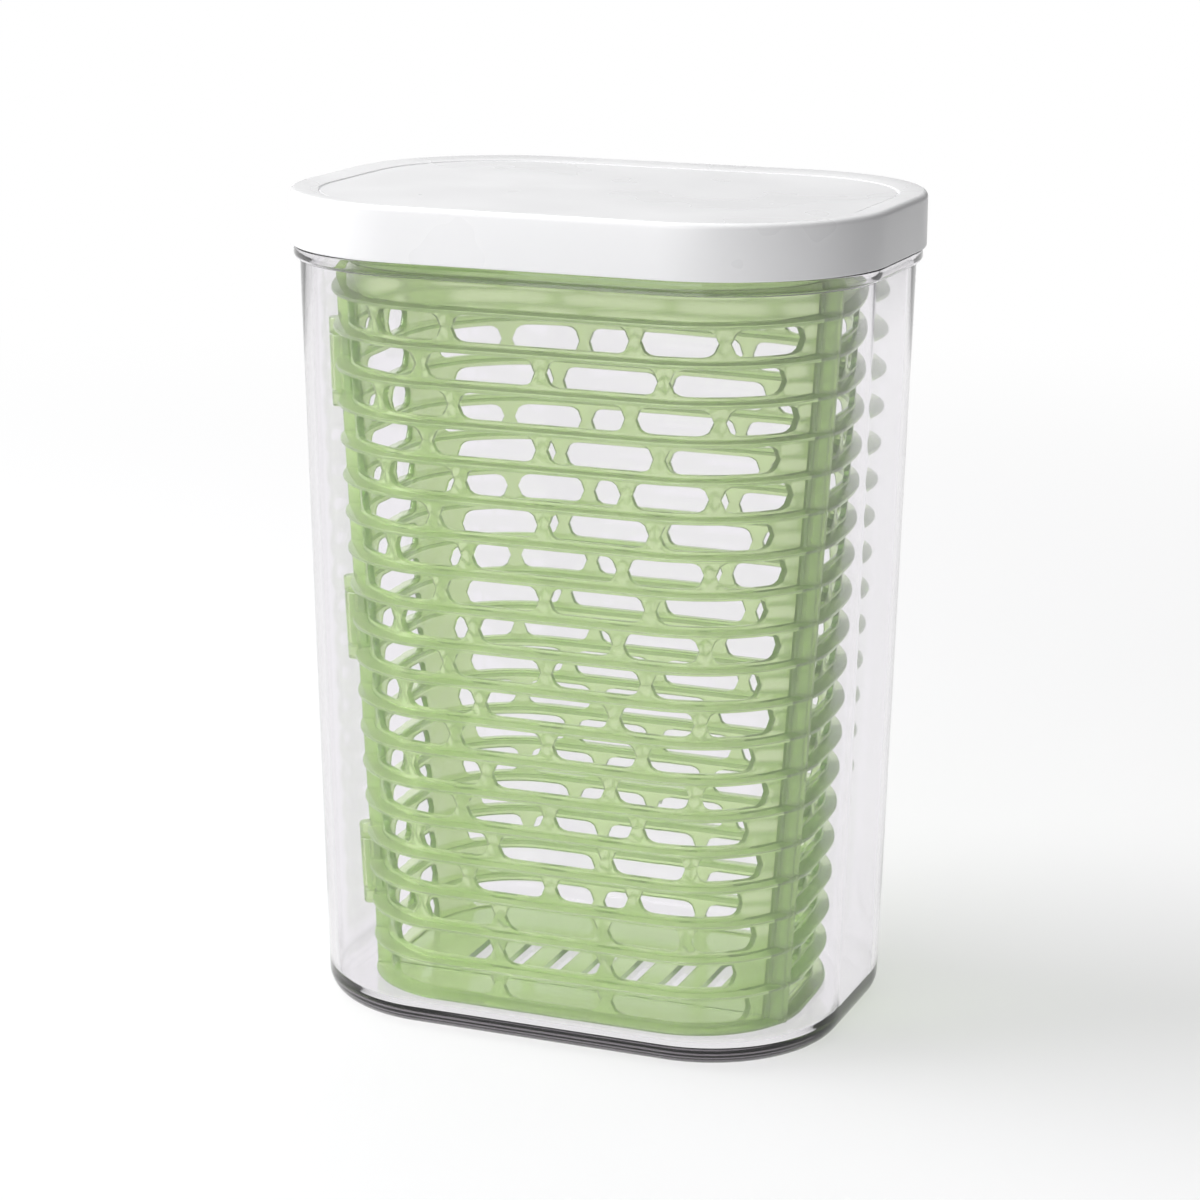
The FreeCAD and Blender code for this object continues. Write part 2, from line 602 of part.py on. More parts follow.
def hinges():
    """Lugs with pins for the tub, clips for the door, the air that each needs, and the clips' bores."""
    top, axis = hinge_line()
    knuckle, air = size("knuckle_radius"), size("knuckle_radius") + size("knuckle_clearance")
    clip_tall, whole = size("clip_height"), size("hinge_height")
    pocket_tall = clip_tall + 2 * size("clip_gap")
    lug_tall = (whole - pocket_tall) / 2
    tub, door, tub_air, door_air, door_bores = [], [], [], [], []
    for k in range(int(size("hinge_count"))):
        middle = top + axis * (k * size("hinge_spacing"))
        for side in (-1, 1):
            spot = middle + axis * (side * (pocket_tall + lug_tall) / 2)
            tub.append(rod(spot, axis, knuckle, lug_tall).fuse(lug_block(spot, axis, lug_tall, False)))
        tub.append(rod(middle, axis, size("pin_radius"), whole))
        bore = size("pin_radius") + size("pin_clearance")
        clip = rod(middle, axis, knuckle, clip_tall).fuse(lug_block(middle, axis, clip_tall, True))
        mouth = Part.makeBox(2 * knuckle, size("clip_mouth"), 2 * clip_tall,
                             FreeCAD.Vector(-2 * knuckle, -size("clip_mouth") / 2, -clip_tall))
        mouth.Placement = FreeCAD.Placement(middle, FreeCAD.Rotation(FreeCAD.Vector(0, 0, -1), axis))
        door.append(clip.cut(mouth))
        door_bores.append(rod(middle, axis, bore, whole))
        tub_air.append(rod(middle, axis, air, pocket_tall))
        for side in (-1, 1):
            spot = middle + axis * (side * (pocket_tall + lug_tall) / 2)
            door_air.append(rod(spot, axis, air, lug_tall + 2 * size("clip_gap")))
    return tub, door, tub_air, door_air, door_bores


def make_basket():
    """Tub and door: one slotted, ribbed shell parted by a plane, with hinges down the left edge."""
    front = front_slots()
    cutters = {"basket_door": front, "basket_tub": mirrored(front) + side_slots()}
    shell = basket_shell()
    tub_hinge, door_hinge, tub_air, door_air, door_bores = hinges()
    for label, is_front, knuckles, air, bores in (
        ("basket_door", True, door_hinge, door_air, door_bores), ("basket_tub", False, tub_hinge, tub_air, []),
    ):
        half = shell.common(half_space(is_front))
        half = half.cut(cutters[label] + drain_slots() + air).fuse(knuckles)
        if bores:
            half = half.cut(bores)
        half = half.removeSplitter()
        feature = doc.addObject("Part::Feature", label)
        feature.Label = label
        feature.Shape = half
        feature.Placement = FreeCAD.Placement()


def check_and_write():
    """Stop on a failed object or a bad shape, then write one STEP file for each piece."""
    doc.recompute()
    failed = [item.Name for item in doc.Objects if "Invalid" in item.State or "Error" in item.State]
    if failed:
        raise RuntimeError("failed objects: %s" % failed)
    pieces = [item for item in doc.Objects
              if item.TypeId == "PartDesign::Body" or item.Label.startswith("basket_")]
    for item in pieces:
        if item.Shape.isNull() or not item.Shape.isValid():
            raise RuntimeError("bad shape: %s" % item.Label)
    for item in pieces:
        item.Shape.exportStep("parts/%s.step" % item.Label)
        box = item.Shape.BoundBox
        print("%-12s solids %d volume %.1f cm3 z %.1f to %.1f" % (
            item.Label, len(item.Shape.Solids), item.Shape.Volume / 1000, box.ZMin, box.ZMax))


os.makedirs("parts", exist_ok=True)
make_container()
make_lid_cover()
make_lid_liner()
make_lid_seal()
make_basket()
check_and_write()
hinge_at, hinge_axis = hinge_line()
print("hinge at", hinge_at, "axis", hinge_axis)
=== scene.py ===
"""Looks of a herb keeper: clear moulded jar, translucent green slotted basket, satin white lid.

Everything is in metres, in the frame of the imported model: origin under the middle of the base, +Z up,
front towards -Y. Every new surface is a function of two parameters worked out as whole numpy arrays.
"""

import logging
import math
from dataclasses import dataclass
from enum import Enum

import bpy
import numpy as np
from mathutils import Matrix, Vector
from mathutils.geometry import delaunay_2d_cdt


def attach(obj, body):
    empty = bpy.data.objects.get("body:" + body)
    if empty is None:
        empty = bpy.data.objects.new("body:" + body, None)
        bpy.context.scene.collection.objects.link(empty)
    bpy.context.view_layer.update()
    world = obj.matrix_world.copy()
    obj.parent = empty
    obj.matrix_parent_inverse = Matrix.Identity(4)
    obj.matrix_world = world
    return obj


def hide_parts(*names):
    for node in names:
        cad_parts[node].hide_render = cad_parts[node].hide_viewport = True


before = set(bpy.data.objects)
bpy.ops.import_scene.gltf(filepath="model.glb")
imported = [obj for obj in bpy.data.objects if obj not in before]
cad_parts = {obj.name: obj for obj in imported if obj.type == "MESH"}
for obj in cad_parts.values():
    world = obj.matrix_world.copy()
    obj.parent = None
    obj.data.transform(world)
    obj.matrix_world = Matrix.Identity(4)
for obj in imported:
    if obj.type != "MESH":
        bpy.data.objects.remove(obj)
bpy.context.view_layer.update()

MM = 0.001
MICRON = 0.001 * MM
CDT_REACH = 1e-9
SMOOTH_UNDER = math.radians(38)
NOISE_MIDDLE = (0.3, 0.7)
WHITE_LIGHT = (1.0, 1.0, 1.0, 1.0)
Numbers = float | np.ndarray
log = logging.getLogger("herb_keeper")


class Slot(Enum):
    """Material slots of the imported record."""

    CLEAR = "clear_plastic"
    GREEN = "green_plastic"
    WHITE = "white_plastic"
    SEAL = "seal_rubber"


# Colour and node helpers
def linear(hex_colour: str) -> tuple[float, float, float, float]:
    """Turn an sRGB hex colour into linear RGBA.

    Args:
        hex_colour: six hex digits, such as "8fbf6a".

    Returns:
        Linear red, green, blue and an alpha of one. Each channel c goes to c / 12.92 below 0.04045,
        and to ((c + 0.055) / 1.055) to the power 2.4 above it.
    """
    channels = np.array([int(hex_colour[k:k + 2], 16) for k in (0, 2, 4)]) / 255.0
    low = channels / 12.92
    high = ((channels + 0.055) / 1.055) ** 2.4
    red, green, blue = np.where(channels <= 0.04045, low, high)
    return (float(red), float(green), float(blue), 1.0)


def add_node(tree: bpy.types.NodeTree, kind: str, inputs: dict | None = None,
             **properties: object) -> bpy.types.Node:
    """Add a node, set its properties, and set or link its inputs.

    Args:
        tree: node tree that receives the node.
        kind: node type name.
        inputs: input names or numbers, each with a value or with the output socket that feeds it.
        properties: attribute names with their values.

    Returns:
        The new node.
    """
    node = tree.nodes.new(kind)
    for name, value in properties.items():
        setattr(node, name, value)
    for key, value in (inputs or {}).items():
        if isinstance(value, bpy.types.NodeSocket):
            tree.links.new(value, node.inputs[key])
        else:
            node.inputs[key].default_value = value
    return node


def combine(tree: bpy.types.NodeTree, operation: str, *values: object) -> bpy.types.NodeSocket:
    """Result, kept between 0 and 1, of a math node over values or sockets."""
    return add_node(tree, "ShaderNodeMath", dict(enumerate(values)), operation=operation,
                    use_clamp=True).outputs[0]


def mix(tree: bpy.types.NodeTree, *share_and_shaders: bpy.types.NodeSocket) -> bpy.types.NodeSocket:
    """Mix of two shaders; the share, which comes first, is the second shader's."""
    return add_node(tree, "ShaderNodeMixShader", dict(enumerate(share_and_shaders))).outputs[0]


def empty_tree(owner: bpy.types.Material | bpy.types.World) -> bpy.types.NodeTree:
    """Switch on the nodes of a material or world and empty them.

    Args:
        owner: the material or world.

    Returns:
        Its node tree.
    """
    owner.use_nodes = True
    owner.node_tree.nodes.clear()
    return owner.node_tree


@dataclass(frozen=True)
class MouldedPlastic:
    """An injection-moulded plastic: clear, translucent or opaque, with its mould texture.

    Attributes:
        name: common name of the plastic and of its surface.
        colour: its sRGB hex.
        roughness: middle roughness of the skin.
        ior: refractive index.
        transmission: share of light that passes instead of scattering at the skin.
        subsurface: share of scattered light that travels inside the wall.
        scatter_mm: how far it travels.
        roughness_spread: how much the gloss drifts from place to place.
        flow_mm: size of that drift, the flow marks of the mould.
        texture_mm: grain of the mould's skin, drawn coarse enough to show.
        texture_depth_mm: height of that grain.
        tint: sRGB hex that light takes on inside.
        tint_per_m: strength of that tint for each metre.
        shine_through: share of a lamp's light that passes straight through to what stands behind.
    """

    name: str
    colour: str
    roughness: float
    ior: float
    transmission: float = 0.0
    subsurface: float = 0.0
    scatter_mm: float = 1.0
    roughness_spread: float = 0.05
    flow_mm: float = 30.0
    texture_mm: float = 0.5
    texture_depth_mm: float = 0.0
    tint: str = "ffffff"
    tint_per_m: float = 0.0
    shine_through: float = 0.0

    def material(self) -> bpy.types.Material:
        """Build the node material.

        Returns:
            A Principled material whose roughness drifts with a soft noise on Object coordinates, and
            whose skin has a fine noise bump.
        """
        material = bpy.data.materials.new(self.name)
        tree = empty_tree(material)
        place = add_node(tree, "ShaderNodeTexCoord").outputs["Object"]
        flow = add_node(tree, "ShaderNodeTexNoise",
                        {"Vector": place, "Scale": 1.0 / (self.flow_mm * MM), "Detail": 2.0})
        gloss = add_node(tree, "ShaderNodeMapRange", {
            "Value": flow.outputs["Fac"], "From Min": NOISE_MIDDLE[0], "From Max": NOISE_MIDDLE[1],
            "To Min": max(self.roughness - self.roughness_spread, 0.0),
            "To Max": self.roughness + self.roughness_spread})
        shader = add_node(tree, "ShaderNodeBsdfPrincipled", {
            "Base Color": linear(self.colour), "Roughness": gloss.outputs["Result"], "IOR": self.ior,
            "Transmission Weight": self.transmission, "Subsurface Weight": self.subsurface,
            "Subsurface Radius": (self.scatter_mm * MM,) * 3, "Subsurface Scale": 1.0})
        if self.texture_depth_mm > 0.0:
            grain = add_node(tree, "ShaderNodeTexNoise",
                             {"Vector": place, "Scale": 1.0 / (self.texture_mm * MM), "Detail": 1.0})
            bump = add_node(tree, "ShaderNodeBump", {
                "Height": grain.outputs["Fac"], "Strength": 1.0, "Distance": self.texture_depth_mm * MM})
            tree.links.new(bump.outputs["Normal"], shader.inputs["Normal"])
        surface = shader.outputs["BSDF"]
        if self.shine_through > 0.0:
            rays = add_node(tree, "ShaderNodeLightPath").outputs
            share = combine(tree, "MULTIPLY", rays["Is Shadow Ray"], self.shine_through)
            passing = add_node(tree, "ShaderNodeBsdfTransparent", {"Color": linear(self.colour)})
            surface = mix(tree, share, surface, passing.outputs["BSDF"])
        output = add_node(tree, "ShaderNodeOutputMaterial", {"Surface": surface})
        if self.tint_per_m > 0.0:
            inside = add_node(tree, "ShaderNodeVolumeAbsorption",
                              {"Color": linear(self.tint), "Density": self.tint_per_m})
            tree.links.new(inside.outputs["Volume"], output.inputs["Volume"])
        return material


# Clear styrene copolymer as moulded: glassy, nearly colourless, its edges a cool grey
CLEAR_STYRENE = MouldedPlastic("clear_styrene_moulded", "fbfafc", 0.02, 1.52, transmission=1.0,
                               roughness_spread=0.015, tint="cac6ca", tint_per_m=40.0,
                               shine_through=0.93)
# Natural polypropylene with green tint: milky, lets light through and glows at thin ribs
GREEN_POLYPROPYLENE = MouldedPlastic("green_polypropylene_moulded", "e8f6c8", 0.12, 1.49, transmission=0.8,
                                     texture_mm=2.5, texture_depth_mm=0.004, tint="bce26c",
                                     tint_per_m=95.0, shine_through=0.95)
# White ABS from a fine spark-eroded mould: even satin with a soft highlight
WHITE_ABS = MouldedPlastic("white_abs_satin", "f1f1f2", 0.30, 1.53,
                           texture_mm=0.45, texture_depth_mm=0.006)
# Silicone rubber as pressed: matt, slightly grey, faintly translucent
SEAL_SILICONE = MouldedPlastic("silicone_pressed", "d8dad8", 0.55, 1.41, subsurface=0.2,
                               texture_mm=0.6, texture_depth_mm=0.01)
# Grey board beside the set
CARD_BOARD = MouldedPlastic("studio_card", "303032", 0.8, 1.45)


# Mesh helpers
@dataclass
class Solid:
    """Points and faces of one or more closed skins.

    Attributes:
        points: N by 3 array, in metres.
        faces: lists of vertex numbers, each face walked anticlockwise seen from outside.
    """

    points: np.ndarray
    faces: list

    def __add__(self, other: "Solid") -> "Solid":
        """Both skins side by side, the second one's vertex numbers moved on."""
        moved = [[number + len(self.points) for number in face] for face in other.faces]
        return Solid(np.concatenate([self.points, other.points]), self.faces + moved)


def make_piece(name: str, solid: Solid, material: bpy.types.Material) -> bpy.types.Object:
    """Make an object at the origin, smooth except across edges sharper than SMOOTH_UNDER.

    Args:
        name: object name.
        solid: its points and faces.
        material: finish of the whole piece.

    Returns:
        The new object.
    """
    mesh = bpy.data.meshes.new(name)
    mesh.from_pydata(solid.points.tolist(), [], solid.faces)
    mesh.validate()
    mesh.polygons.foreach_set("use_smooth", np.ones(len(mesh.polygons), dtype=bool))
    mesh.set_sharp_from_angle(angle=SMOOTH_UNDER)
    mesh.materials.append(material)
    piece = bpy.data.objects.new(name, mesh)
    bpy.context.scene.collection.objects.link(piece)
    log.info("%s: %d points, %d faces", name, len(solid.points), len(solid.faces))
    return piece


def dress_node(node: str, finish: bpy.types.Material) -> None:
    """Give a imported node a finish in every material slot.

    Args:
        node: the node's name.
        finish: its plastic.
    """
    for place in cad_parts[node].material_slots:
        place.material = finish
    log.info("%s keeps its packed shape", node)


def ring_faces(rings: int, stations: int, closed: bool = True) -> np.ndarray:
    """Quads between successive rings of equal length.

    Args:
        rings: number of rings, numbered one after another.
        stations: points in each ring.
        closed: whether the last station joins the first.

    Returns:
        M by 4 array of vertex numbers, outside on the left when rings rise and stations go round
        anticlockwise.
    """
    ring, station = np.meshgrid(np.arange(rings - 1), np.arange(stations if closed else stations - 1),
                                indexing="ij")
    after = (station + 1) % stations
    low, high = ring * stations, (ring + 1) * stations
    return np.stack([low + station, low + after, high + after, high + station], axis=-1).reshape(-1, 4)


def stack(rings: np.ndarray) -> Solid:
    """Closed skin over a stack of rings.

    Args:
        rings: R by S by 3 array, lowest ring first, each anticlockwise seen from the stack's top.

    Returns:
        The skin, with a flat face at both ends.
    """
    count, size = rings.shape[:2]
    faces = ring_faces(count, size).tolist()
    faces.append(list(range(size))[::-1])
    faces.append(list(range((count - 1) * size, count * size)))
    return Solid(rings.reshape(-1, 3), faces)


def arc(centre: tuple[float, float], radius: float, start: float, stop: float, steps: int) -> np.ndarray:
    """Points of an arc in a plane, from one angle to another in degrees."""
    angles = np.radians(np.linspace(start, stop, steps + 1))
    return np.stack([centre[0] + radius * np.cos(angles), centre[1] + radius * np.sin(angles)], axis=1)


def unit(vectors: np.ndarray) -> np.ndarray:
    """Vectors, one to a row, scaled to length one."""
    return vectors / np.linalg.norm(vectors, axis=1)[:, None]

@dataclass(frozen=True)
class Outline:
    """A rounded rectangle, walked once anticlockwise.

    Attributes:
        half_x: half its width.
        half_y: half its depth.
        corner: its corner radius.
        corner_steps: straight steps in each corner.
    """

    half_x: float
    half_y: float
    corner: float
    corner_steps: int = 28

    def stations(self) -> tuple[np.ndarray, np.ndarray]:
        """Centres of curvature and outward directions round the outline.

        Returns:
            Two N by 2 arrays. A point of the outline is its centre plus the corner radius times its
            direction, so an offset outline keeps the centres and changes only the radius.
        """
        turns = np.linspace(0.0, math.pi / 2, self.corner_steps + 1)
        angles = (np.arange(4)[:, None] * math.pi / 2 + turns[None, :]).ravel()
        flat = np.array([self.half_x - self.corner, self.half_y - self.corner])
        signs = np.array([[1, 1], [-1, 1], [-1, -1], [1, -1]])
        centres = np.repeat(signs * flat, len(turns), axis=0)
        return centres, np.stack([np.cos(angles), np.sin(angles)], axis=1)

    def sweep(self, profile: np.ndarray) -> Solid:
        """Carry a profile round the outline and close both its ends with flat faces.

        Args:
            profile: K by 2 array of offset outwards and height.

        Returns:
            A closed skin. Point (k, s) is centre s plus the corner radius and the offset of k times
            direction s, at the height of k.
        """
        centres, directions = self.stations()
        reach = self.corner + profile[:, 0]
        plan = centres[None] + reach[:, None, None] * directions[None]
        heights = np.broadcast_to(profile[:, 1, None, None], plan.shape[:2] + (1,))
        return stack(np.concatenate([plan, heights], axis=2))


def plate_with_holes(loops: list[np.ndarray], low: float, high: float) -> Solid:
    """Flat plate between two heights.

    Args:
        loops: outlines in the plane, each anticlockwise; the first is the rim, the rest are holes.
        low: height of the underside.
        high: height of the top.

    Returns:
        A closed skin. A triangle is kept where a level line from its middle crosses the loops an odd
        number of times, which is inside the rim and outside every hole.
    """
    flat = np.concatenate(loops)
    starts = np.cumsum([0] + [len(loop) for loop in loops])
    edges = [(start + k, start + (k + 1) % len(loop)) for start, loop in zip(starts, loops)
             for k in range(len(loop))]
    verts, _, triangles, *_ = delaunay_2d_cdt([Vector(point) for point in flat], edges, [], 0, CDT_REACH)
    spots, triangles = np.array([tuple(vert) for vert in verts]), np.array(triangles)
    middles = spots[triangles].mean(axis=1)[:, None]
    here, there = flat[np.array(edges)].transpose(1, 0, 2)
    straddles = (here[:, 1] > middles[..., 1]) != (there[:, 1] > middles[..., 1])
    rise = np.where(there[:, 1] == here[:, 1], 1.0, there[:, 1] - here[:, 1])
    cross = here[:, 0] + (middles[..., 1] - here[:, 1]) * (there[:, 0] - here[:, 0]) / rise
    kept = triangles[(straddles & (middles[..., 0] < cross)).sum(axis=1) % 2 == 1]
    count, rim = len(spots), len(loops[0])
    points = np.concatenate([np.insert(spots, 2, low, axis=1), np.insert(spots, 2, high, axis=1)])
    walls = [[start, stop, stop + count, start + count] for start, stop in edges]
    walls[rim:] = [wall[::-1] for wall in walls[rim:]]
    return Solid(points, kept[:, ::-1].tolist() + (kept + count).tolist() + walls)


# Jar
@dataclass
class Jar:
    """Clear jar: one closed wall of glassy plastic with a thick base and a rim under the lid."""

    base_half_x: float = 71.15 * MM
    base_half_y: float = 50.1 * MM
    base_corner: float = 36.2 * MM
    lean: float = 0.0262
    height: float = 208.6 * MM
    wall: float = 2.4 * MM
    floor: float = 4.5 * MM
    heel: float = 6.5 * MM
    foot_reach: float = 14.3 * MM
    inner_heel: float = 4.0 * MM
    inner_reach: float = 12.0 * MM
    rim_low: float = 198.2 * MM
    rim_high: float = 202.0 * MM
    rim_reach: float = 77.9 * MM
    rim_edge: float = 1.33 * MM
    fillet_out: float = 0.3 * MM
    fillet_up: float = 0.4 * MM
    lip: float = 0.9 * MM
    cap_radius: float = 2.0 * MM
    levels: int = 6
    first_level: float = 0.15

    def outside(self, height: Numbers) -> Numbers:
        """Offset of the leaning outside from the base outline at a height."""
        return self.lean * height

    def profile(self) -> np.ndarray:
        """Profile from the middle of the underside, up the outside, over the mouth and down inside.

        Returns:
            K by 2 array of offset and height: heel arc, leaning wall, rim with two round edges,
            rounded mouth, leaning inside, inner heel arc and floor.
        """
        middle, edge, lip = -self.base_corner + self.cap_radius, self.rim_edge, self.lip
        tilt = math.degrees(math.atan(self.lean))
        rim = self.rim_reach - self.base_half_x
        shoulder, mouth = self.outside(self.rim_high), self.outside(self.height)
        heel_centre = (self.outside(self.heel) - self.heel, self.heel)
        inner_centre = (self.outside(self.floor) - self.wall - self.inner_heel, self.floor + self.inner_heel)
        up = np.linspace(self.first_level, 1.0, self.levels) * self.rim_low
        down = np.linspace(self.height - lip, self.floor + self.inner_reach, self.levels)
        return np.concatenate([
            [[middle, 0.0], [-self.foot_reach, 0.0]],
            arc(heel_centre, self.heel, -90.0, -tilt, steps=9),
            np.stack([self.outside(up), up], axis=1),
            arc((rim - edge, self.rim_low + edge), edge, -90.0, 0.0, steps=5),
            arc((rim - edge / 2, self.rim_high - edge / 2), edge / 2, 0.0, 90.0, steps=4),
            [[shoulder + self.fillet_out, self.rim_high], [shoulder, self.rim_high + self.fillet_up]],
            arc((mouth - lip, self.height - lip), lip, 0.0, 90.0, steps=4),
            arc((mouth - self.wall + lip, self.height - lip), lip, 90.0, 180.0, steps=4),
            np.stack([self.outside(down) - self.wall, down], axis=1)[1:],
            arc(inner_centre, self.inner_heel, 0.0, -90.0, steps=8),
            [[-self.inner_reach, self.floor], [middle, self.floor]],
        ])

    def build(self, finish: bpy.types.Material) -> None:
        """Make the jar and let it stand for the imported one.

        Args:
            finish: the jar's plastic.
        """
        outline = Outline(self.base_half_x, self.base_half_y, self.base_corner)
        piece = make_piece("jar", outline.sweep(self.profile()), finish)
        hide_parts("container")
        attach(piece, "jar")


# Lid
@dataclass
class Lid:
    """White lid: satin cap with a sloping ring round a flat panel, over its plug and sealing ring."""

    half_x: float = 78.75 * MM
    half_y: float = 57.8 * MM
    corner: float = 43.8 * MM
    low: float = 202.0 * MM
    high: float = 216.0 * MM
    skirt: float = 1.8 * MM
    edge: float = 1.6 * MM
    ring: float = 7.6 * MM
    ring_rise: float = 0.18 * MM
    dish: float = 0.9 * MM
    groove: float = 0.35 * MM
    groove_floor: float = 0.14 * MM
    panel_margin: float = 3.0 * MM
    ceiling: float = 212.9 * MM
    ceiling_round: float = 1.2 * MM
    foot: float = 0.45 * MM
    cap_radius: float = 2.0 * MM

    def profile(self) -> np.ndarray:
        """Profile from the middle of the ceiling, down the skirt, up the outside and over to the panel.

        Returns:
            K by 2 array of offset and height. A fine groove parts the sloping ring from the panel.
        """
        middle, panel, ring = -self.corner + self.cap_radius, self.high - self.dish, -self.ring
        foot, edge, groove, bend = self.foot, self.edge, self.groove, self.ceiling_round
        inside = -self.skirt - bend
        return np.concatenate([
            [[middle, self.ceiling], [inside, self.ceiling]],
            arc((inside, self.ceiling - bend), bend, 90.0, 0.0, steps=4)[1:],
            arc((-self.skirt + foot, self.low + foot), foot, 180.0, 270.0, steps=4),
            arc((-foot, self.low + foot), foot, -90.0, 0.0, steps=4),
            arc((-edge, self.high - edge), edge, 0.0, 80.0, steps=8),
            [[ring + groove, panel + self.ring_rise], [ring + self.groove_floor, panel - groove],
             [ring - self.groove_floor, panel - groove], [ring - groove, panel]],
            [[ring - self.panel_margin, panel], [middle, panel]],
        ])

    def build(self, white: bpy.types.Material, seal: bpy.types.Material) -> None:
        """Make the cap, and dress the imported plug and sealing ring.

        Args:
            white: plastic of the cap and its plug.
            seal: rubber of the ring.
        """
        outline = Outline(self.half_x, self.half_y, self.corner)
        piece = make_piece("lid_cap", outline.sweep(self.profile()), white)
        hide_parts("lid_cover")
        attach(piece, "lid")
        dress_node("lid_liner", white)
        dress_node("lid_seal", seal)


# Basket
# A rib's root fillet, as shares of its radius, and its rounded edge, as shares of half its thickness
ROOT_FILLET = ((1.0, 0.0), (0.3, 0.15), (0.0, 1.0))
RIB_EDGE = ((0.86, 0.8), (0.6, 0.22))
# In millimetres, the flare under the collar as drop and reach, and the top's inner edge as drop and depth
COLLAR_FLARE = ((3.2, 0.0), (1.4, 0.5), (0.35, 1.6), (0.0, 3.2))
TOP_EDGE = ((0.0, 1.1), (0.3, 0.3), (1.1, 0.0))
# Turns of the outer points on a slot's half-round end, and of the points on its rounded edge
SLOT_END_TURNS = np.radians([225.0, 247.5])
SLOT_EDGE_TURNS = np.radians([0.0, 45.0, 90.0])


class Side(Enum):
    """The two shells of the basket, with the sign of Y that each faces."""

    DOOR = -1
    TUB = 1

@dataclass
class BasketForm:
    """Sizes and walk of the leaning basket shared by its two shells."""

    top: float = 200.6 * MM
    floor: float = 4.5 * MM
    half_x: float = 66.5 * MM
    half_y: float = 46.5 * MM
    corner: float = 36.0 * MM
    lean: float = 0.055
    walk_share: float = 0.85
    wall: float = 1.8 * MM
    rib_depth: float = 4.0 * MM
    rib_half: float = 0.7 * MM
    pitch: float = 9.7 * MM
    ribs: int = 20
    top_rib_drop: float = 10.9 * MM
    slot_height: float = 6.8 * MM
    slot_end_shift: float = 4.9 * MM
    strut: float = 3.0 * MM
    long_middle: float = 50.8 * MM
    long_next: float = 22.6 * MM
    pair_middle: float = 33.4 * MM
    slot_lean: float = 0.069
    end_margin: float = 5.2 * MM
    side_slot: float = 27.0 * MM
    foot_rows: int = 2
    foot_window: float = 30.0 * MM
    parting: float = 20.0 * MM
    gap: float = 0.4 * MM
    flange: float = 1.6 * MM
    flange_step: float = 0.4 * MM
    collar_reach: float = 4.85 * MM
    collar: float = 1.8 * MM
    column: float = 1.25 * MM
    door_gap: float = 0.2 * MM
    drains: int = 7
    drain_pitch: float = 11.0 * MM
    drain_reach: float = 15.0 * MM
    drain_radius: float = 2.5 * MM
    hinge_top: tuple[float, float, float] = (-68.064 * MM, -20.0 * MM, 169.0 * MM)
    hinge_up: tuple[float, float, float] = (-0.057145, 0.0, 0.998366)
    hinges: int = 3
    hinge_pitch: float = 67.9 * MM
    hinge_whole: float = 22.4 * MM
    clip: float = 13.8 * MM
    clip_gap: float = 0.3 * MM
    knuckle: float = 2.3 * MM
    bore: float = 1.23 * MM
    pin: float = 1.15 * MM
    mouth: float = 1.5 * MM
    air: float = 0.5 * MM
    hinge_offset: float = 0.5 * MM

    @property
    def flat_x(self) -> float:
        """Half the straight part of the long side."""
        return self.half_x - self.corner

    @property
    def flat_y(self) -> float:
        """Half the straight part of the short side."""
        return self.half_y - self.corner

    def radius(self, height: Numbers, depth: Numbers = 0.0) -> Numbers:
        """Corner radius at a height, at a depth into the wall; it shrinks by the lean downwards."""
        return self.corner - self.lean * (self.top - height) - depth

    def rib_heights(self) -> np.ndarray:
        """Middle heights of the ribs, from the top one down."""
        return self.top - self.top_rib_drop - self.pitch * np.arange(self.ribs)

    def underside(self, side: Side) -> float:
        """Height of a shell's underside; the door hangs a little clear of the jar's floor."""
        return self.floor + (self.door_gap if side is Side.DOOR else 0.0)

    def hinge_frame(self) -> tuple[np.ndarray, np.ndarray]:
        """Work out where the hinges are.

        Returns:
            Middles of the hinges, and rows of inward, backward and upward directions.
        """
        up = np.array(self.hinge_up)
        back = np.array([0.0, 1.0, 0.0])
        middles = np.array(self.hinge_top) - np.arange(self.hinges)[:, None] * self.hinge_pitch * up
        return middles, np.stack([np.cross(back, up), back, up])

    def relieve(self, points: np.ndarray, side: Side) -> np.ndarray:
        """Push points out of the air that the other shell's knuckles need.

        Args:
            points: N by 3 array.
            side: which shell the points belong to.

        Returns:
            The points; those inside a relief cylinder now lie on it, straight out from its axis.
        """
        middles, axes = self.hinge_frame()
        pocket = self.clip / 2 + self.clip_gap
        wide = self.knuckle + self.air
        zones = [(0.0, pocket, wide)]
        if side is Side.DOOR:
            lug = (self.hinge_whole / 2 + pocket) / 2
            reach = (self.hinge_whole / 2 - pocket) / 2 + self.clip_gap
            zones = [(-lug, reach, wide), (lug, reach, wide), (0.0, pocket, self.bore)]
        moved = points.copy()
        for middle in middles:
            local = (moved - middle) @ axes.T
            for centre, reach, radius in zones:
                away = np.maximum(np.hypot(local[:, 0], local[:, 1]), MICRON)
                hit = (np.abs(local[:, 2] - centre) < reach) & (away < radius)
                local[hit, :2] *= (radius / away[hit])[:, None]
            moved = middle + local @ axes
        return moved

    def end_turn(self, radius: Numbers, side: Side) -> Numbers:
        """Turn at which a corner of that radius meets its shell's edge at the parting.

        The edge is the plane y = -(parting +/- half the gap), so its turn from the Y axis is the arc
        cosine of (edge - flat_y) / radius.
        """
        edge = self.parting - side.value * self.gap / 2
        return np.arccos(np.clip((edge - self.flat_y) / radius, -1.0, 1.0))

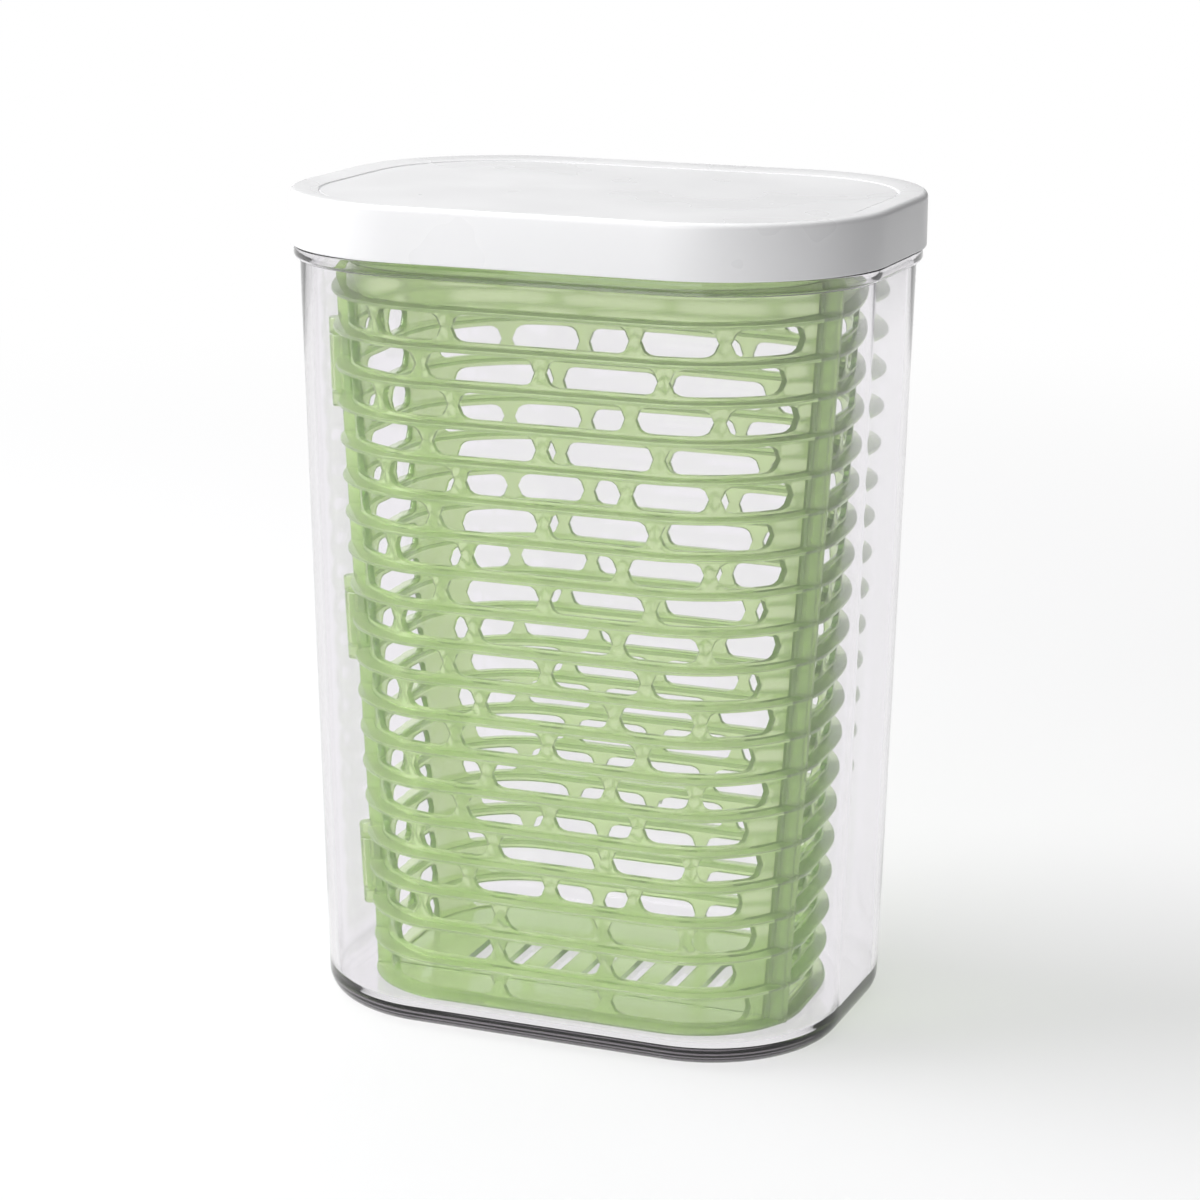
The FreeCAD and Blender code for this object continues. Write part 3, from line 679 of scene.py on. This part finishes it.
    def lengths(self, side: Side) -> np.ndarray:
        """Measure the walk at a corner radius between the top's and the foot's.

        Args:
            side: which shell.

        Returns:
            Walk lengths at which the shell's half changes from straight to corner and back.
        """
        middle = self.corner * self.walk_share
        turn = self.end_turn(middle, side)
        if side is Side.DOOR:
            return np.array([self.flat_x, self.flat_x + middle * turn])
        marks = [self.flat_x, middle * math.pi / 2, 2 * self.flat_y, middle * (math.pi / 2 - turn)]
        return np.cumsum(marks)

    def place(self, walk: np.ndarray, height: np.ndarray, depth: np.ndarray, side: Side) -> np.ndarray:
        """Points of the wall, from a walk along it, a height and a depth.

        Args:
            walk: distance from the middle of the long side, negative to the left.
            height: height of each point.
            depth: depth into the wall, negative where a rib stands out.
            side: which shell.

        Returns:
            Points in metres. Straight parts run along the core rectangle; a corner turns evenly about
            its centre, which is the same at every height; the last corner is stretched so that it ends
            on the parting plane.
        """
        walk, height, depth = np.broadcast_arrays(walk, height, depth)
        radius = self.radius(height, depth)
        ahead, sign = np.abs(walk), np.where(walk < 0, -1.0, 1.0)
        marks = self.lengths(side)
        end = self.end_turn(radius, side)
        full = end if side is Side.DOOR else np.full_like(end, math.pi / 2)
        share = np.clip((ahead - marks[0]) / (marks[1] - marks[0]), 0.0, 1.0)
        turn = share * full
        x = np.minimum(ahead, self.flat_x) + radius * np.sin(turn)
        y = self.flat_y + radius * np.cos(turn)
        if side is Side.TUB:
            down = np.clip(ahead - marks[1], 0.0, 2 * self.flat_y)
            last = np.clip((ahead - marks[2]) / (marks[3] - marks[2]), 0.0, 1.0) * (math.pi / 2 - end)
            x = np.where(ahead > marks[2], self.flat_x + radius * np.cos(last), x)
            y = np.where(ahead > marks[2], -self.flat_y - radius * np.sin(last), y - down)
        return np.stack([sign * x, side.value * y, height], axis=-1)

    def walk_of(self, distance: float, height: float, side: Side) -> float:
        """Turn a true distance round the wall's outside into a walk.

        Args:
            distance: from the middle of the long side, negative to the left.
            height: height at which it is measured.
            side: which shell.

        Returns:
            The walk of the same point.
        """
        ahead = abs(distance)
        if ahead <= self.flat_x:
            return distance
        marks, radius = self.lengths(side), self.radius(height)
        full = float(self.end_turn(radius, side)) if side is Side.DOOR else math.pi / 2
        turn = (ahead - self.flat_x) / radius
        return math.copysign(self.flat_x + turn / full * (marks[1] - marks[0]), distance)

    def row_slots(self, row: int, height: float, side: Side) -> list[tuple[float, float]]:
        """Slots of a row as pairs of walks, from left to right.

        Args:
            row: number of the row from the top.
            height: middle height of the row.
            side: which shell.

        Returns:
            Start and stop of each slot. Rows 0, 2, 4 and so on have one long slot in the middle and two
            on each side of it, the others have two on each side, and struts draw in going down.
        """
        drawn_in = self.slot_lean * (float(self.rib_heights()[0]) - height)
        turn = math.acos((self.parting - self.flat_y) / self.radius(height))
        end = self.flat_x + self.radius(height) * turn - self.end_margin
        end -= 0.0 if row % 2 == 0 else self.slot_end_shift
        if row >= self.ribs - 1 - self.foot_rows:
            marks, spans = [self.foot_window / 2, end], [(-self.foot_window / 2, self.foot_window / 2)]
        elif row % 2 == 0:
            first = self.long_middle / 2 - drawn_in
            marks, spans = [first, first + self.long_next, end], [(-first, first)]
        else:
            marks, spans = [0.0, self.pair_middle - drawn_in, end], []
        for start, stop in zip(marks, marks[1:]):
            spans.extend([(start, stop), (-stop, -start)])
        half = self.strut / 2
        slots = [(self.walk_of(a + half, height, side), self.walk_of(b - half, height, side))
                 for a, b in spans]
        if side is Side.TUB:
            middle = self.lengths(side)[1] + self.flat_y
            reach = self.side_slot / 2
            near = [(-reach, reach)] if row % 2 == 0 else [(-reach, -half), (half, reach)]
            slots.extend((middle + a, middle + b) for a, b in near)
            slots.extend((-middle + a, -middle + b) for a, b in near)
        return sorted(slots)


@dataclass
class BasketShell:
    """One shell of the basket as a single welded skin: slotted wall, ribs, collar and foot."""

    form: BasketForm
    side: Side
    root: float = 0.3 * MM
    slot_round: float = 0.33 * MM
    wide_strut: float = 7.5 * MM
    foot_chamfer: float = 0.4 * MM
    foot_reach: float = 2.8 * MM
    flange_levels: int = 90
    flange_round: float = 0.3 * MM
    bar_chamfer: float = 0.2 * MM
    pin_root: float = 1.0 * MM
    web_share: float = 0.6
    bury: float = 0.05 * MM
    plate_lift: float = 0.03 * MM
    plate_root: float = 0.8
    plate_stations: int = 96
    plate_clear: float = 0.3 * MM

    def columns(self) -> np.ndarray:
        """Walks of the upright mesh lines, evenly spaced from edge to edge."""
        reach = self.form.lengths(self.side)[-1]
        return np.linspace(-reach, reach, 2 * int(round(reach / self.form.column)) + 1)

    def rib_profile(self) -> np.ndarray:
        """Height and depth of a rib's skin from its lower root out and back to its upper root.

        Returns:
            K by 2 array: a small root fillet, a slightly drafted flank and a round edge.
        """
        half, out = self.form.rib_half, -self.form.rib_depth
        lower = [[-half - across * self.root, -off * self.root] for across, off in ROOT_FILLET]
        lower += [[-across * half, out + off * half] for across, off in RIB_EDGE]
        return np.array(lower + [[0.0, out]] + [[-z, depth] for z, depth in reversed(lower)])

    def hole_ring(self, start: float, stop: float, steps: int) -> np.ndarray:
        """Outline of a slot, matched point for point to its cell's edge.

        Args:
            start: left end of the slot.
            stop: right end of the slot.
            steps: mesh columns along the cell.

        Returns:
            Array of walk and height about the slot's middle, walked anticlockwise from the lower left:
            steps + 1 points below, one on the right, steps + 1 above and one on the left. The outer
            three points at each end lie on the half-round end, the others evenly on the straight.
        """
        radius = self.form.slot_height / 2
        left, right = start + radius, stop - radius
        straight = np.linspace(left, right, steps - 3)
        along, up = radius * np.cos(SLOT_END_TURNS), radius * np.sin(SLOT_END_TURNS)
        low = np.concatenate([np.stack([left + along, up], axis=1),
                              np.stack([straight, np.full_like(straight, -radius)], axis=1),
                              np.stack([right - along, up], axis=1)[::-1]])
        high = low[::-1] * [1.0, -1.0]
        return np.concatenate([low, [[stop, 0.0]], high, [[start, 0.0]]])

    def grow(self, ring: np.ndarray, start: float, stop: float, by: float) -> np.ndarray:
        """Move a slot's outline outwards from its middle line.

        Args:
            ring: the outline.
            start: left end of the slot.
            stop: right end of the slot.
            by: distance to move.

        Returns:
            The moved outline.
        """
        radius = self.form.slot_height / 2
        axis = np.clip(ring[:, 0], start + radius, stop - radius)
        outward = np.stack([ring[:, 0] - axis, ring[:, 1]], axis=1) / radius
        return ring + by * outward
    def cell(self, edges: np.ndarray, low: float, high: float, slot: tuple[float, float]) -> np.ndarray:
        """Quads of one cell: skin round a slot, the slot's rounded wall, and the skin inside.

        Args:
            edges: walks of the mesh columns from one side of the cell to the other.
            low: lower edge.
            high: upper edge.
            slot: start and stop of its slot.

        Returns:
            M by 4 by 3 array of walk, height and depth.
        """
        start, stop = slot
        middle, thick = (low + high) / 2, self.form.wall
        hole = self.hole_ring(start, stop, len(edges) - 1)
        below = np.stack([edges, np.full_like(edges, low)], axis=1)
        above = np.stack([edges[::-1], np.full_like(edges, high)], axis=1)
        around = np.concatenate([below, [[edges[-1], middle]], above, [[edges[0], middle]]])
        sines, cosines = np.sin(SLOT_EDGE_TURNS), np.cos(SLOT_EDGE_TURNS)
        rounding = self.slot_round * (1 - np.stack([sines, cosines], axis=1))
        levels = np.concatenate([rounding, rounding[::-1] * [1.0, -1.0] + [0.0, thick]])
        rings = [np.insert(around, 2, 0.0, axis=1)]
        for out, deep in levels:
            rings.append(np.insert(self.grow(hole, start, stop, out) + [0.0, middle], 2, deep, axis=1))
        rings.append(np.insert(around, 2, thick, axis=1))
        return np.concatenate(rings)[ring_faces(len(rings), len(around))]

    def wall_profile(self, low: float, high: float) -> np.ndarray:
        """Height and depth of three points up the wall's outside."""
        return np.array([[low, 0.0], [(low + high) / 2, 0.0], [high, 0.0]])

    def plain(self, edges: np.ndarray, low: float, high: float) -> np.ndarray:
        """Quads of a stretch of wall with no slot, outside and inside.

        Args:
            edges: walks of its mesh columns.
            low: lower edge.
            high: upper edge.

        Returns:
            M by 4 by 3 array of walk, height and depth.
        """
        outer = self.wall_profile(low, high)
        inner = outer[::-1] + [0.0, self.form.wall]
        return np.concatenate([self.strip(outer, edges), self.strip(inner, edges)])

    def row(self, number: int, low: float, high: float, columns: np.ndarray) -> list[np.ndarray]:
        """Quads of a whole row between two ribs.

        Args:
            number: number of the row from the top.
            low: lower edge.
            high: upper edge.
            columns: walks of the mesh columns.

        Returns:
            Arrays of quads. Neighbouring slots share a cell edge in the middle of their strut, unless
            the strut is wide enough for plain wall.
        """
        slots = self.form.row_slots(number, (low + high) / 2, self.side)
        gaps = [(a[1] + b[0]) / 2 for a, b in zip(slots, slots[1:])]
        wide = [self.wide_strut < b[0] - a[1] for a, b in zip(slots, slots[1:])]
        margin = self.form.strut / 2
        quads, done = [], 0
        for k, slot in enumerate(slots):
            left = gaps[k - 1] if k > 0 and not wide[k - 1] else slot[0] - margin
            right = gaps[k] if k < len(gaps) and not wide[k] else slot[1] + margin
            first, last = (int(np.argmin(np.abs(columns - mark))) for mark in (left, right))
            if first > done:
                quads.append(self.plain(columns[done:first + 1], low, high))
            quads.append(self.cell(columns[first:last + 1], low, high, slot))
            done = last
        return quads + [self.plain(columns[done:], low, high)]

    def strip(self, profile: np.ndarray, columns: np.ndarray) -> np.ndarray:
        """Quads of a profile carried along all columns.

        Args:
            profile: K by 2 array of height and depth.
            columns: walks of the mesh columns.

        Returns:
            M by 4 by 3 array of walk, height and depth.
        """
        walk = np.broadcast_to(columns[None, :, None], (len(profile), len(columns), 1))
        bands = np.broadcast_to(profile[:, None, :], (len(profile), len(columns), 2))
        points = np.concatenate([walk, bands], axis=-1).reshape(-1, 3)
        return points[ring_faces(len(profile), len(columns), closed=False)]

    def top_profile(self, rib: float) -> np.ndarray:
        """Profile over the top.

        Args:
            rib: middle height of the top rib.

        Returns:
            K by 2 array of height and depth: band, flared collar, rounded edge, and down the inside.
        """
        form, start = self.form, rib + self.form.rib_half + self.root
        out, under, edge = -form.collar_reach, form.top - form.collar, 0.5 * form.collar
        flare = [[under - drop * MM, -reach * MM] for drop, reach in COLLAR_FLARE]
        nose = [[form.top - edge - edge * math.cos(turn), out + edge - edge * math.sin(turn)]
                for turn in np.radians([30.0, 60.0, 90.0, 120.0, 150.0, 180.0])]
        inner = [[form.top - drop * MM, form.wall - deep * MM] for drop, deep in TOP_EDGE]
        return np.array([[start, 0.0]] + flare + [[under, out + edge]] + nose + inner + [[start, form.wall]])

    def foot_profile(self, rib: float) -> np.ndarray:
        """Profile under the foot.

        Args:
            rib: middle height of the lowest rib.

        Returns:
            K by 2 array of height and depth: down the inside, under the edge and round the lowest rib.
        """
        wall, cut, base = self.form.wall, self.foot_chamfer, self.form.underside(self.side)
        lower = [[rib + self.form.rib_half + self.root, wall], [base + cut, wall], [base, wall - cut],
                 [base, -self.foot_reach]]
        return np.concatenate([lower, self.rib_profile()[4:] + [rib, 0.0]])

    def skin(self) -> Solid:
        """Build the whole welded skin.

        Returns:
            Points in metres and faces. Quads are gathered as walk, height and depth, welded where they
            agree to a micrometre, and only then placed on the leaning wall. One face closes each
            stretch of the wall's edge at the parting, between an outer and an inner profile.
        """
        form, columns = self.form, self.columns()
        ribs = form.rib_heights()
        root = form.rib_half + self.root
        quads, ends = [], []
        for number, (upper, lower) in enumerate(zip(ribs, ribs[1:])):
            low, high = lower + root, upper - root
            quads.extend(self.row(number, low, high, columns))
            outer = self.wall_profile(low, high)
            ends.append((outer, outer + [0.0, form.wall]))
        for rib in ribs[:-1]:
            outer = self.rib_profile() + [rib, 0.0]
            inner = np.array([[rib - root, form.wall], [rib + root, form.wall]])
            quads.extend([self.strip(outer, columns), self.strip(inner[::-1], columns)])
            ends.append((outer, inner))
        for profile in (self.top_profile(ribs[0]), self.foot_profile(ribs[-1])):
            quads.append(self.strip(profile, columns))
            ends.append((profile, profile[:0]))
        stacked = np.concatenate(quads)
        loops = []
        for outer, inner in ends:
            loop = np.concatenate([outer, inner[::-1]])
            loops.append(np.insert(loop, 0, columns[0], axis=1))
            loops.append(np.insert(loop, 0, columns[-1], axis=1)[::-1])
        corners = np.concatenate([stacked.reshape(-1, 3)] + loops)
        _, first, number = np.unique(np.round(corners / MICRON).astype(np.int64), axis=0,
                                     return_index=True, return_inverse=True)
        number, done = number.ravel(), 4 * len(stacked)
        faces = number[:done].reshape(-1, 4).tolist()
        for loop in loops:
            faces.append(number[done:done + len(loop)].tolist())
            done += len(loop)
        points = form.place(*corners[first].T, self.side)
        if self.side is Side.TUB:
            faces = [face[::-1] for face in faces]
        return Solid(form.relieve(points, self.side), faces)

    def flange(self, sign: int) -> Solid:
        """Upright flange along the parting at one end of the shell.

        Args:
            sign: which end, 1 for the right.

        Returns:
            The stack of its cross-sections.
        """
        form, side, soft = self.form, self.side, self.flange_round
        heights = np.linspace(form.underside(side) + self.bury, form.top - form.collar / 2,
                              self.flange_levels)
        near = -form.parting + side.value * form.gap / 2
        low, high = sorted([near, near + side.value * form.flange])
        outer, inner = -form.rib_depth + form.flange_step, form.wall / 2
        section = [(inner, low), (outer + soft, low), (outer, low + soft), (outer, high - soft),
                   (outer + soft, high), (inner, high)]
        rings = []
        for depth, y in section[::sign]:
            x = form.flat_x + np.sqrt(form.radius(heights, depth) ** 2 - (abs(y) - form.flat_y) ** 2)
            rings.append(np.stack([sign * x, np.full_like(x, y), heights], axis=1))
        rings = np.stack(rings, axis=1)
        return stack(form.relieve(rings.reshape(-1, 3), side).reshape(rings.shape))

    def bar(self, loop: np.ndarray, middle: np.ndarray, start: float, stop: float) -> Solid:
        """A moulded bar along the hinge axis, its ends drawn in by a fine chamfer.

        Args:
            loop: cross-section as inward and backward distances from the axis, anticlockwise.
            middle: middle of the hinge.
            start: lower end along the axis.

        Returns:
            The bar.
        """
        _, axes = self.form.hinge_frame()
        soft = self.bar_chamfer
        tangent = unit(unit(np.roll(loop, -1, axis=0) - loop) + unit(loop - np.roll(loop, 1, axis=0)))
        drawn = loop + soft * np.stack([-tangent[:, 1], tangent[:, 0]], axis=1)
        levels = [(drawn, start), (loop, start + soft), (loop, stop - soft), (drawn, stop)]
        rings = [np.insert(ring, 2, height, axis=1) @ axes + middle for ring, height in levels]
        return stack(np.stack(rings))

    def knuckle_loop(self) -> np.ndarray:
        """Cross-section of a knuckle with its web.

        Returns:
            N by 2 array of inward and backward distances. The tub's lugs are full and behind the
            parting; the door's clip is a C with its mouth outwards, in front of the parting.
        """
        form = self.form
        web, edge, outer, axis = form.rib_depth + form.hinge_offset, form.gap / 2, form.knuckle, (0.0, 0.0)
        start = math.degrees(math.asin(edge / outer))
        if self.side is Side.TUB:
            return np.concatenate([[[web, edge], [web, outer], [self.web_share * web, outer]],
                                   arc(axis, outer, 90.0, 360.0 + start, steps=20)])
        open_out = math.degrees(math.asin(form.mouth / 2 / outer))
        open_in = math.degrees(math.asin(form.mouth / 2 / form.bore))
        return np.concatenate([[[web, -outer], [web, -edge]],
                               arc(axis, outer, -start, 180.0 - open_out, steps=13),
                               arc(axis, form.bore, 180.0 - open_in, open_in - 180.0, steps=18),
                               arc(axis, outer, 180.0 + open_out, 270.0, steps=6)])

    def hinge_parts(self) -> Solid:
        """Build the moulded hinge parts.

        Returns:
            The tub's lugs with their pins, or the door's clips.
        """
        form, loop = self.form, self.knuckle_loop()
        whole, half, pocket = form.hinge_whole / 2, form.clip / 2, form.clip / 2 + form.clip_gap
        pin, reach = arc((0.0, 0.0), form.pin, 0.0, 340.0, steps=17), pocket + self.pin_root
        bars = [(loop, -whole, -pocket), (loop, pocket, whole), (pin, -reach, reach)]
        if self.side is Side.DOOR:
            bars = [(loop, -half, half)]
        parts = [self.bar(outline, middle, start, stop)
                 for middle in form.hinge_frame()[0] for outline, start, stop in bars]
        return sum(parts[1:], parts[0])

    def floor_plate(self) -> Solid:
        """Build the floor of the shell, rooted in the wall.

        Returns:
            The plate, with the tub's drain slots cut through it.
        """
        form, side = self.form, self.side
        low = form.underside(side) + self.plate_lift
        radius = form.radius(low, self.plate_root * form.wall)
        near = -form.parting + side.value * (form.gap / 2 + self.bury)
        angles = np.linspace(0.0, 2 * math.pi, self.plate_stations, endpoint=False)
        outward = np.stack([np.cos(angles), np.sin(angles)], axis=1)
        rim = np.where(outward >= 0, 1.0, -1.0) * [form.flat_x, form.flat_y] + radius * outward
        keep = (rim[:, 1] - near) * side.value > self.plate_clear
        cut_x = form.flat_x + math.sqrt(radius ** 2 - (abs(near) - form.flat_y) ** 2)
        first = int(np.argmax(keep & ~np.roll(keep, 1)))
        rim = np.roll(rim, -first, axis=0)[:int(keep.sum())]
        loops = [np.concatenate([[[side.value * cut_x, near]], rim, [[-side.value * cut_x, near]]])]
        if side is Side.TUB:
            middle = form.drain_reach - form.drain_radius
            ends = np.concatenate([arc((0.0, middle), form.drain_radius, 0.0, 180.0, steps=8),
                                   arc((0.0, -middle), form.drain_radius, 180.0, 360.0, steps=8)])
            shifts = (np.arange(form.drains) - (form.drains - 1) / 2) * form.drain_pitch
            loops.extend(ends + [shift, 0.0] for shift in shifts)
        return plate_with_holes(loops, low, form.floor + form.wall)

    def build(self, name: str, node: str, body: str, finish: bpy.types.Material) -> None:
        """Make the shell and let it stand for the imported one.

        Args:
            name: object name.
            node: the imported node.
            body: the body it rides on.
            finish: the shell's plastic.
        """
        parts = [self.flange(-1), self.flange(1), self.hinge_parts(), self.floor_plate()]
        piece = make_piece(name, sum(parts, self.skin()), finish)
        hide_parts(node)
        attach(piece, body)


# Camera, floor and light
@dataclass(frozen=True)
class SoftBox:
    """A square area lamp.

    Attributes:
        name: object name.
        spot: its place, in metres.
        size: length of its side, in metres.
        power: its power, in watts.
    """

    name: str
    spot: tuple[float, float, float]
    size: float
    power: float


@dataclass(frozen=True)
class Studio:
    """Pale floor, soft light and the photograph's viewpoint."""

    azimuth: float = 21.582
    elevation: float = 14.209
    roll: float = 0.343
    distance: float = 897.67 * MM
    aside: float = -1.615 * MM
    above: float = 103.774 * MM
    lens: float = 99.24
    sensor: float = 36.0
    floor_half: float = 6.0
    floor_drop: float = 0.02 * MM
    floor_colour: str = "f4f4f5"
    fade_near: float = 0.35
    fade_far: float = 1.1
    near_white: float = 0.5
    through_white: float = 0.88
    card_x: float = 0.42
    card_half: float = 0.5
    card_high: float = 0.75
    ambient: float = 0.34
    aim: tuple[float, float, float] = (0.0, 0.0, 0.1)
    lamps: tuple[SoftBox, ...] = (SoftBox("key", (-1.0, -0.35, 1.55), 1.0, 26.0),
                                  SoftBox("top", (0.0, 0.3, 1.8), 1.8, 8.0),
                                  SoftBox("front", (-0.2, -1.9, 0.7), 1.2, 10.0))

    def camera(self) -> None:
        """Set the camera where the photograph was taken from: turned, tipped, moved off and rolled."""
        turn = Matrix.Rotation(math.radians(self.azimuth), 4, "Z")
        tip = Matrix.Rotation(math.radians(90.0 - self.elevation), 4, "X")
        move = Matrix.Translation((self.aside, self.above, self.distance))
        roll = Matrix.Rotation(math.radians(self.roll), 4, "Z")
        data = bpy.data.cameras.new("camera")
        data.lens = self.lens
        data.sensor_width = self.sensor
        camera = bpy.data.objects.new("camera", data)
        camera.matrix_world = turn @ tip @ move @ roll
        bpy.context.scene.collection.objects.link(camera)
        bpy.context.scene.camera = camera

    def lamp(self, box: SoftBox) -> None:
        """Hang a soft box and turn it to the aim.

        Args:
            box: its sizes and place.
        """
        data = bpy.data.lights.new(box.name, "AREA")
        data.size = box.size
        data.energy = box.power
        light = bpy.data.objects.new(box.name, data)
        light.location = box.spot
        light.rotation_euler = (Vector(self.aim) - Vector(box.spot)).to_track_quat("-Z", "Y").to_euler()
        bpy.context.scene.collection.objects.link(light)

    def floor(self) -> None:
        """Lay a wide pale floor that keeps a soft shadow.

        Camera, glossy and transmission rays see mostly an even white, with a share of the lit floor
        under it that carries the shadow; all other rays see a plain pale floor.
        """
        material = bpy.data.materials.new("studio_floor")
        tree = empty_tree(material)
        rays = add_node(tree, "ShaderNodeLightPath").outputs
        direct = combine(tree, "ADD", rays["Is Camera Ray"], rays["Is Glossy Ray"])
        place = add_node(tree, "ShaderNodeTexCoord").outputs["Object"]
        away = add_node(tree, "ShaderNodeVectorMath", {0: place}, operation="LENGTH")
        fade = add_node(tree, "ShaderNodeMapRange", {
            "Value": away.outputs["Value"], "From Min": self.fade_near, "From Max": self.fade_far,
            "To Min": self.near_white, "To Max": 1.0}, interpolation_type="SMOOTHSTEP")
        share = combine(tree, "MULTIPLY", direct, fade.outputs["Result"])
        share = combine(tree, "MULTIPLY_ADD", rays["Is Transmission Ray"], self.through_white, share)
        lit = add_node(tree, "ShaderNodeBsdfDiffuse", {"Color": linear(self.floor_colour)})
        white = add_node(tree, "ShaderNodeEmission", {"Color": WHITE_LIGHT, "Strength": 1.0})
        surface = mix(tree, share, lit.outputs["BSDF"], white.outputs["Emission"])
        add_node(tree, "ShaderNodeOutputMaterial", {"Surface": surface})
        half, low = self.floor_half, -self.floor_drop
        corners = np.array([[-half, -half, low], [half, -half, low], [half, half, low], [-half, half, low]])
        make_piece("floor", Solid(corners, [[0, 1, 2, 3]]), material)

    def card(self) -> None:
        """Stand a grey card at the right that shades the right side; lamps and direct looks pass it."""
        near, half, high = self.card_x, self.card_half, self.card_high
        corners = np.array([[near, -half, 0.0], [near, -half, high], [near, half, high], [near, half, 0.0]])
        card = make_piece("card", Solid(corners, [[0, 1, 2, 3]]), CARD_BOARD.material())
        for rays in ("camera", "transmission", "glossy", "shadow"):
            setattr(card, f"visible_{rays}", False)

    def world(self) -> None:
        """Set even pale surroundings; camera and transmission rays see plain white."""
        world = bpy.data.worlds.new("studio")
        bpy.context.scene.world = world
        tree = empty_tree(world)
        rays = add_node(tree, "ShaderNodeLightPath").outputs
        seen = combine(tree, "ADD", rays["Is Camera Ray"], rays["Is Transmission Ray"])
        soft, white = (add_node(tree, "ShaderNodeBackground", {"Color": WHITE_LIGHT, "Strength": strength})
                       for strength in (self.ambient, 1.0))
        surface = mix(tree, seen, soft.outputs["Background"], white.outputs["Background"])
        add_node(tree, "ShaderNodeOutputWorld", {"Surface": surface})

    def build(self) -> None:
        """Set the whole studio."""
        self.camera()
        self.floor()
        self.card()
        self.world()
        for box in self.lamps:
            self.lamp(box)
        bpy.context.scene.view_settings.view_transform = "Standard"


def main() -> None:
    """Dress the keeper piece by piece and set the studio."""
    logging.basicConfig(level=logging.INFO, format="%(name)s: %(message)s")
    clear = CLEAR_STYRENE.material()
    green = GREEN_POLYPROPYLENE.material()
    white = WHITE_ABS.material()
    seal = SEAL_SILICONE.material()
    Studio().build()
    Jar().build(clear)
    Lid().build(white, seal)
    form = BasketForm()
    BasketShell(form, Side.DOOR).build("basket_door_shell", "basket_door", "door", green)
    BasketShell(form, Side.TUB).build("basket_tub_shell", "basket_tub", "basket", green)


if __name__ == "__main__":
    main()
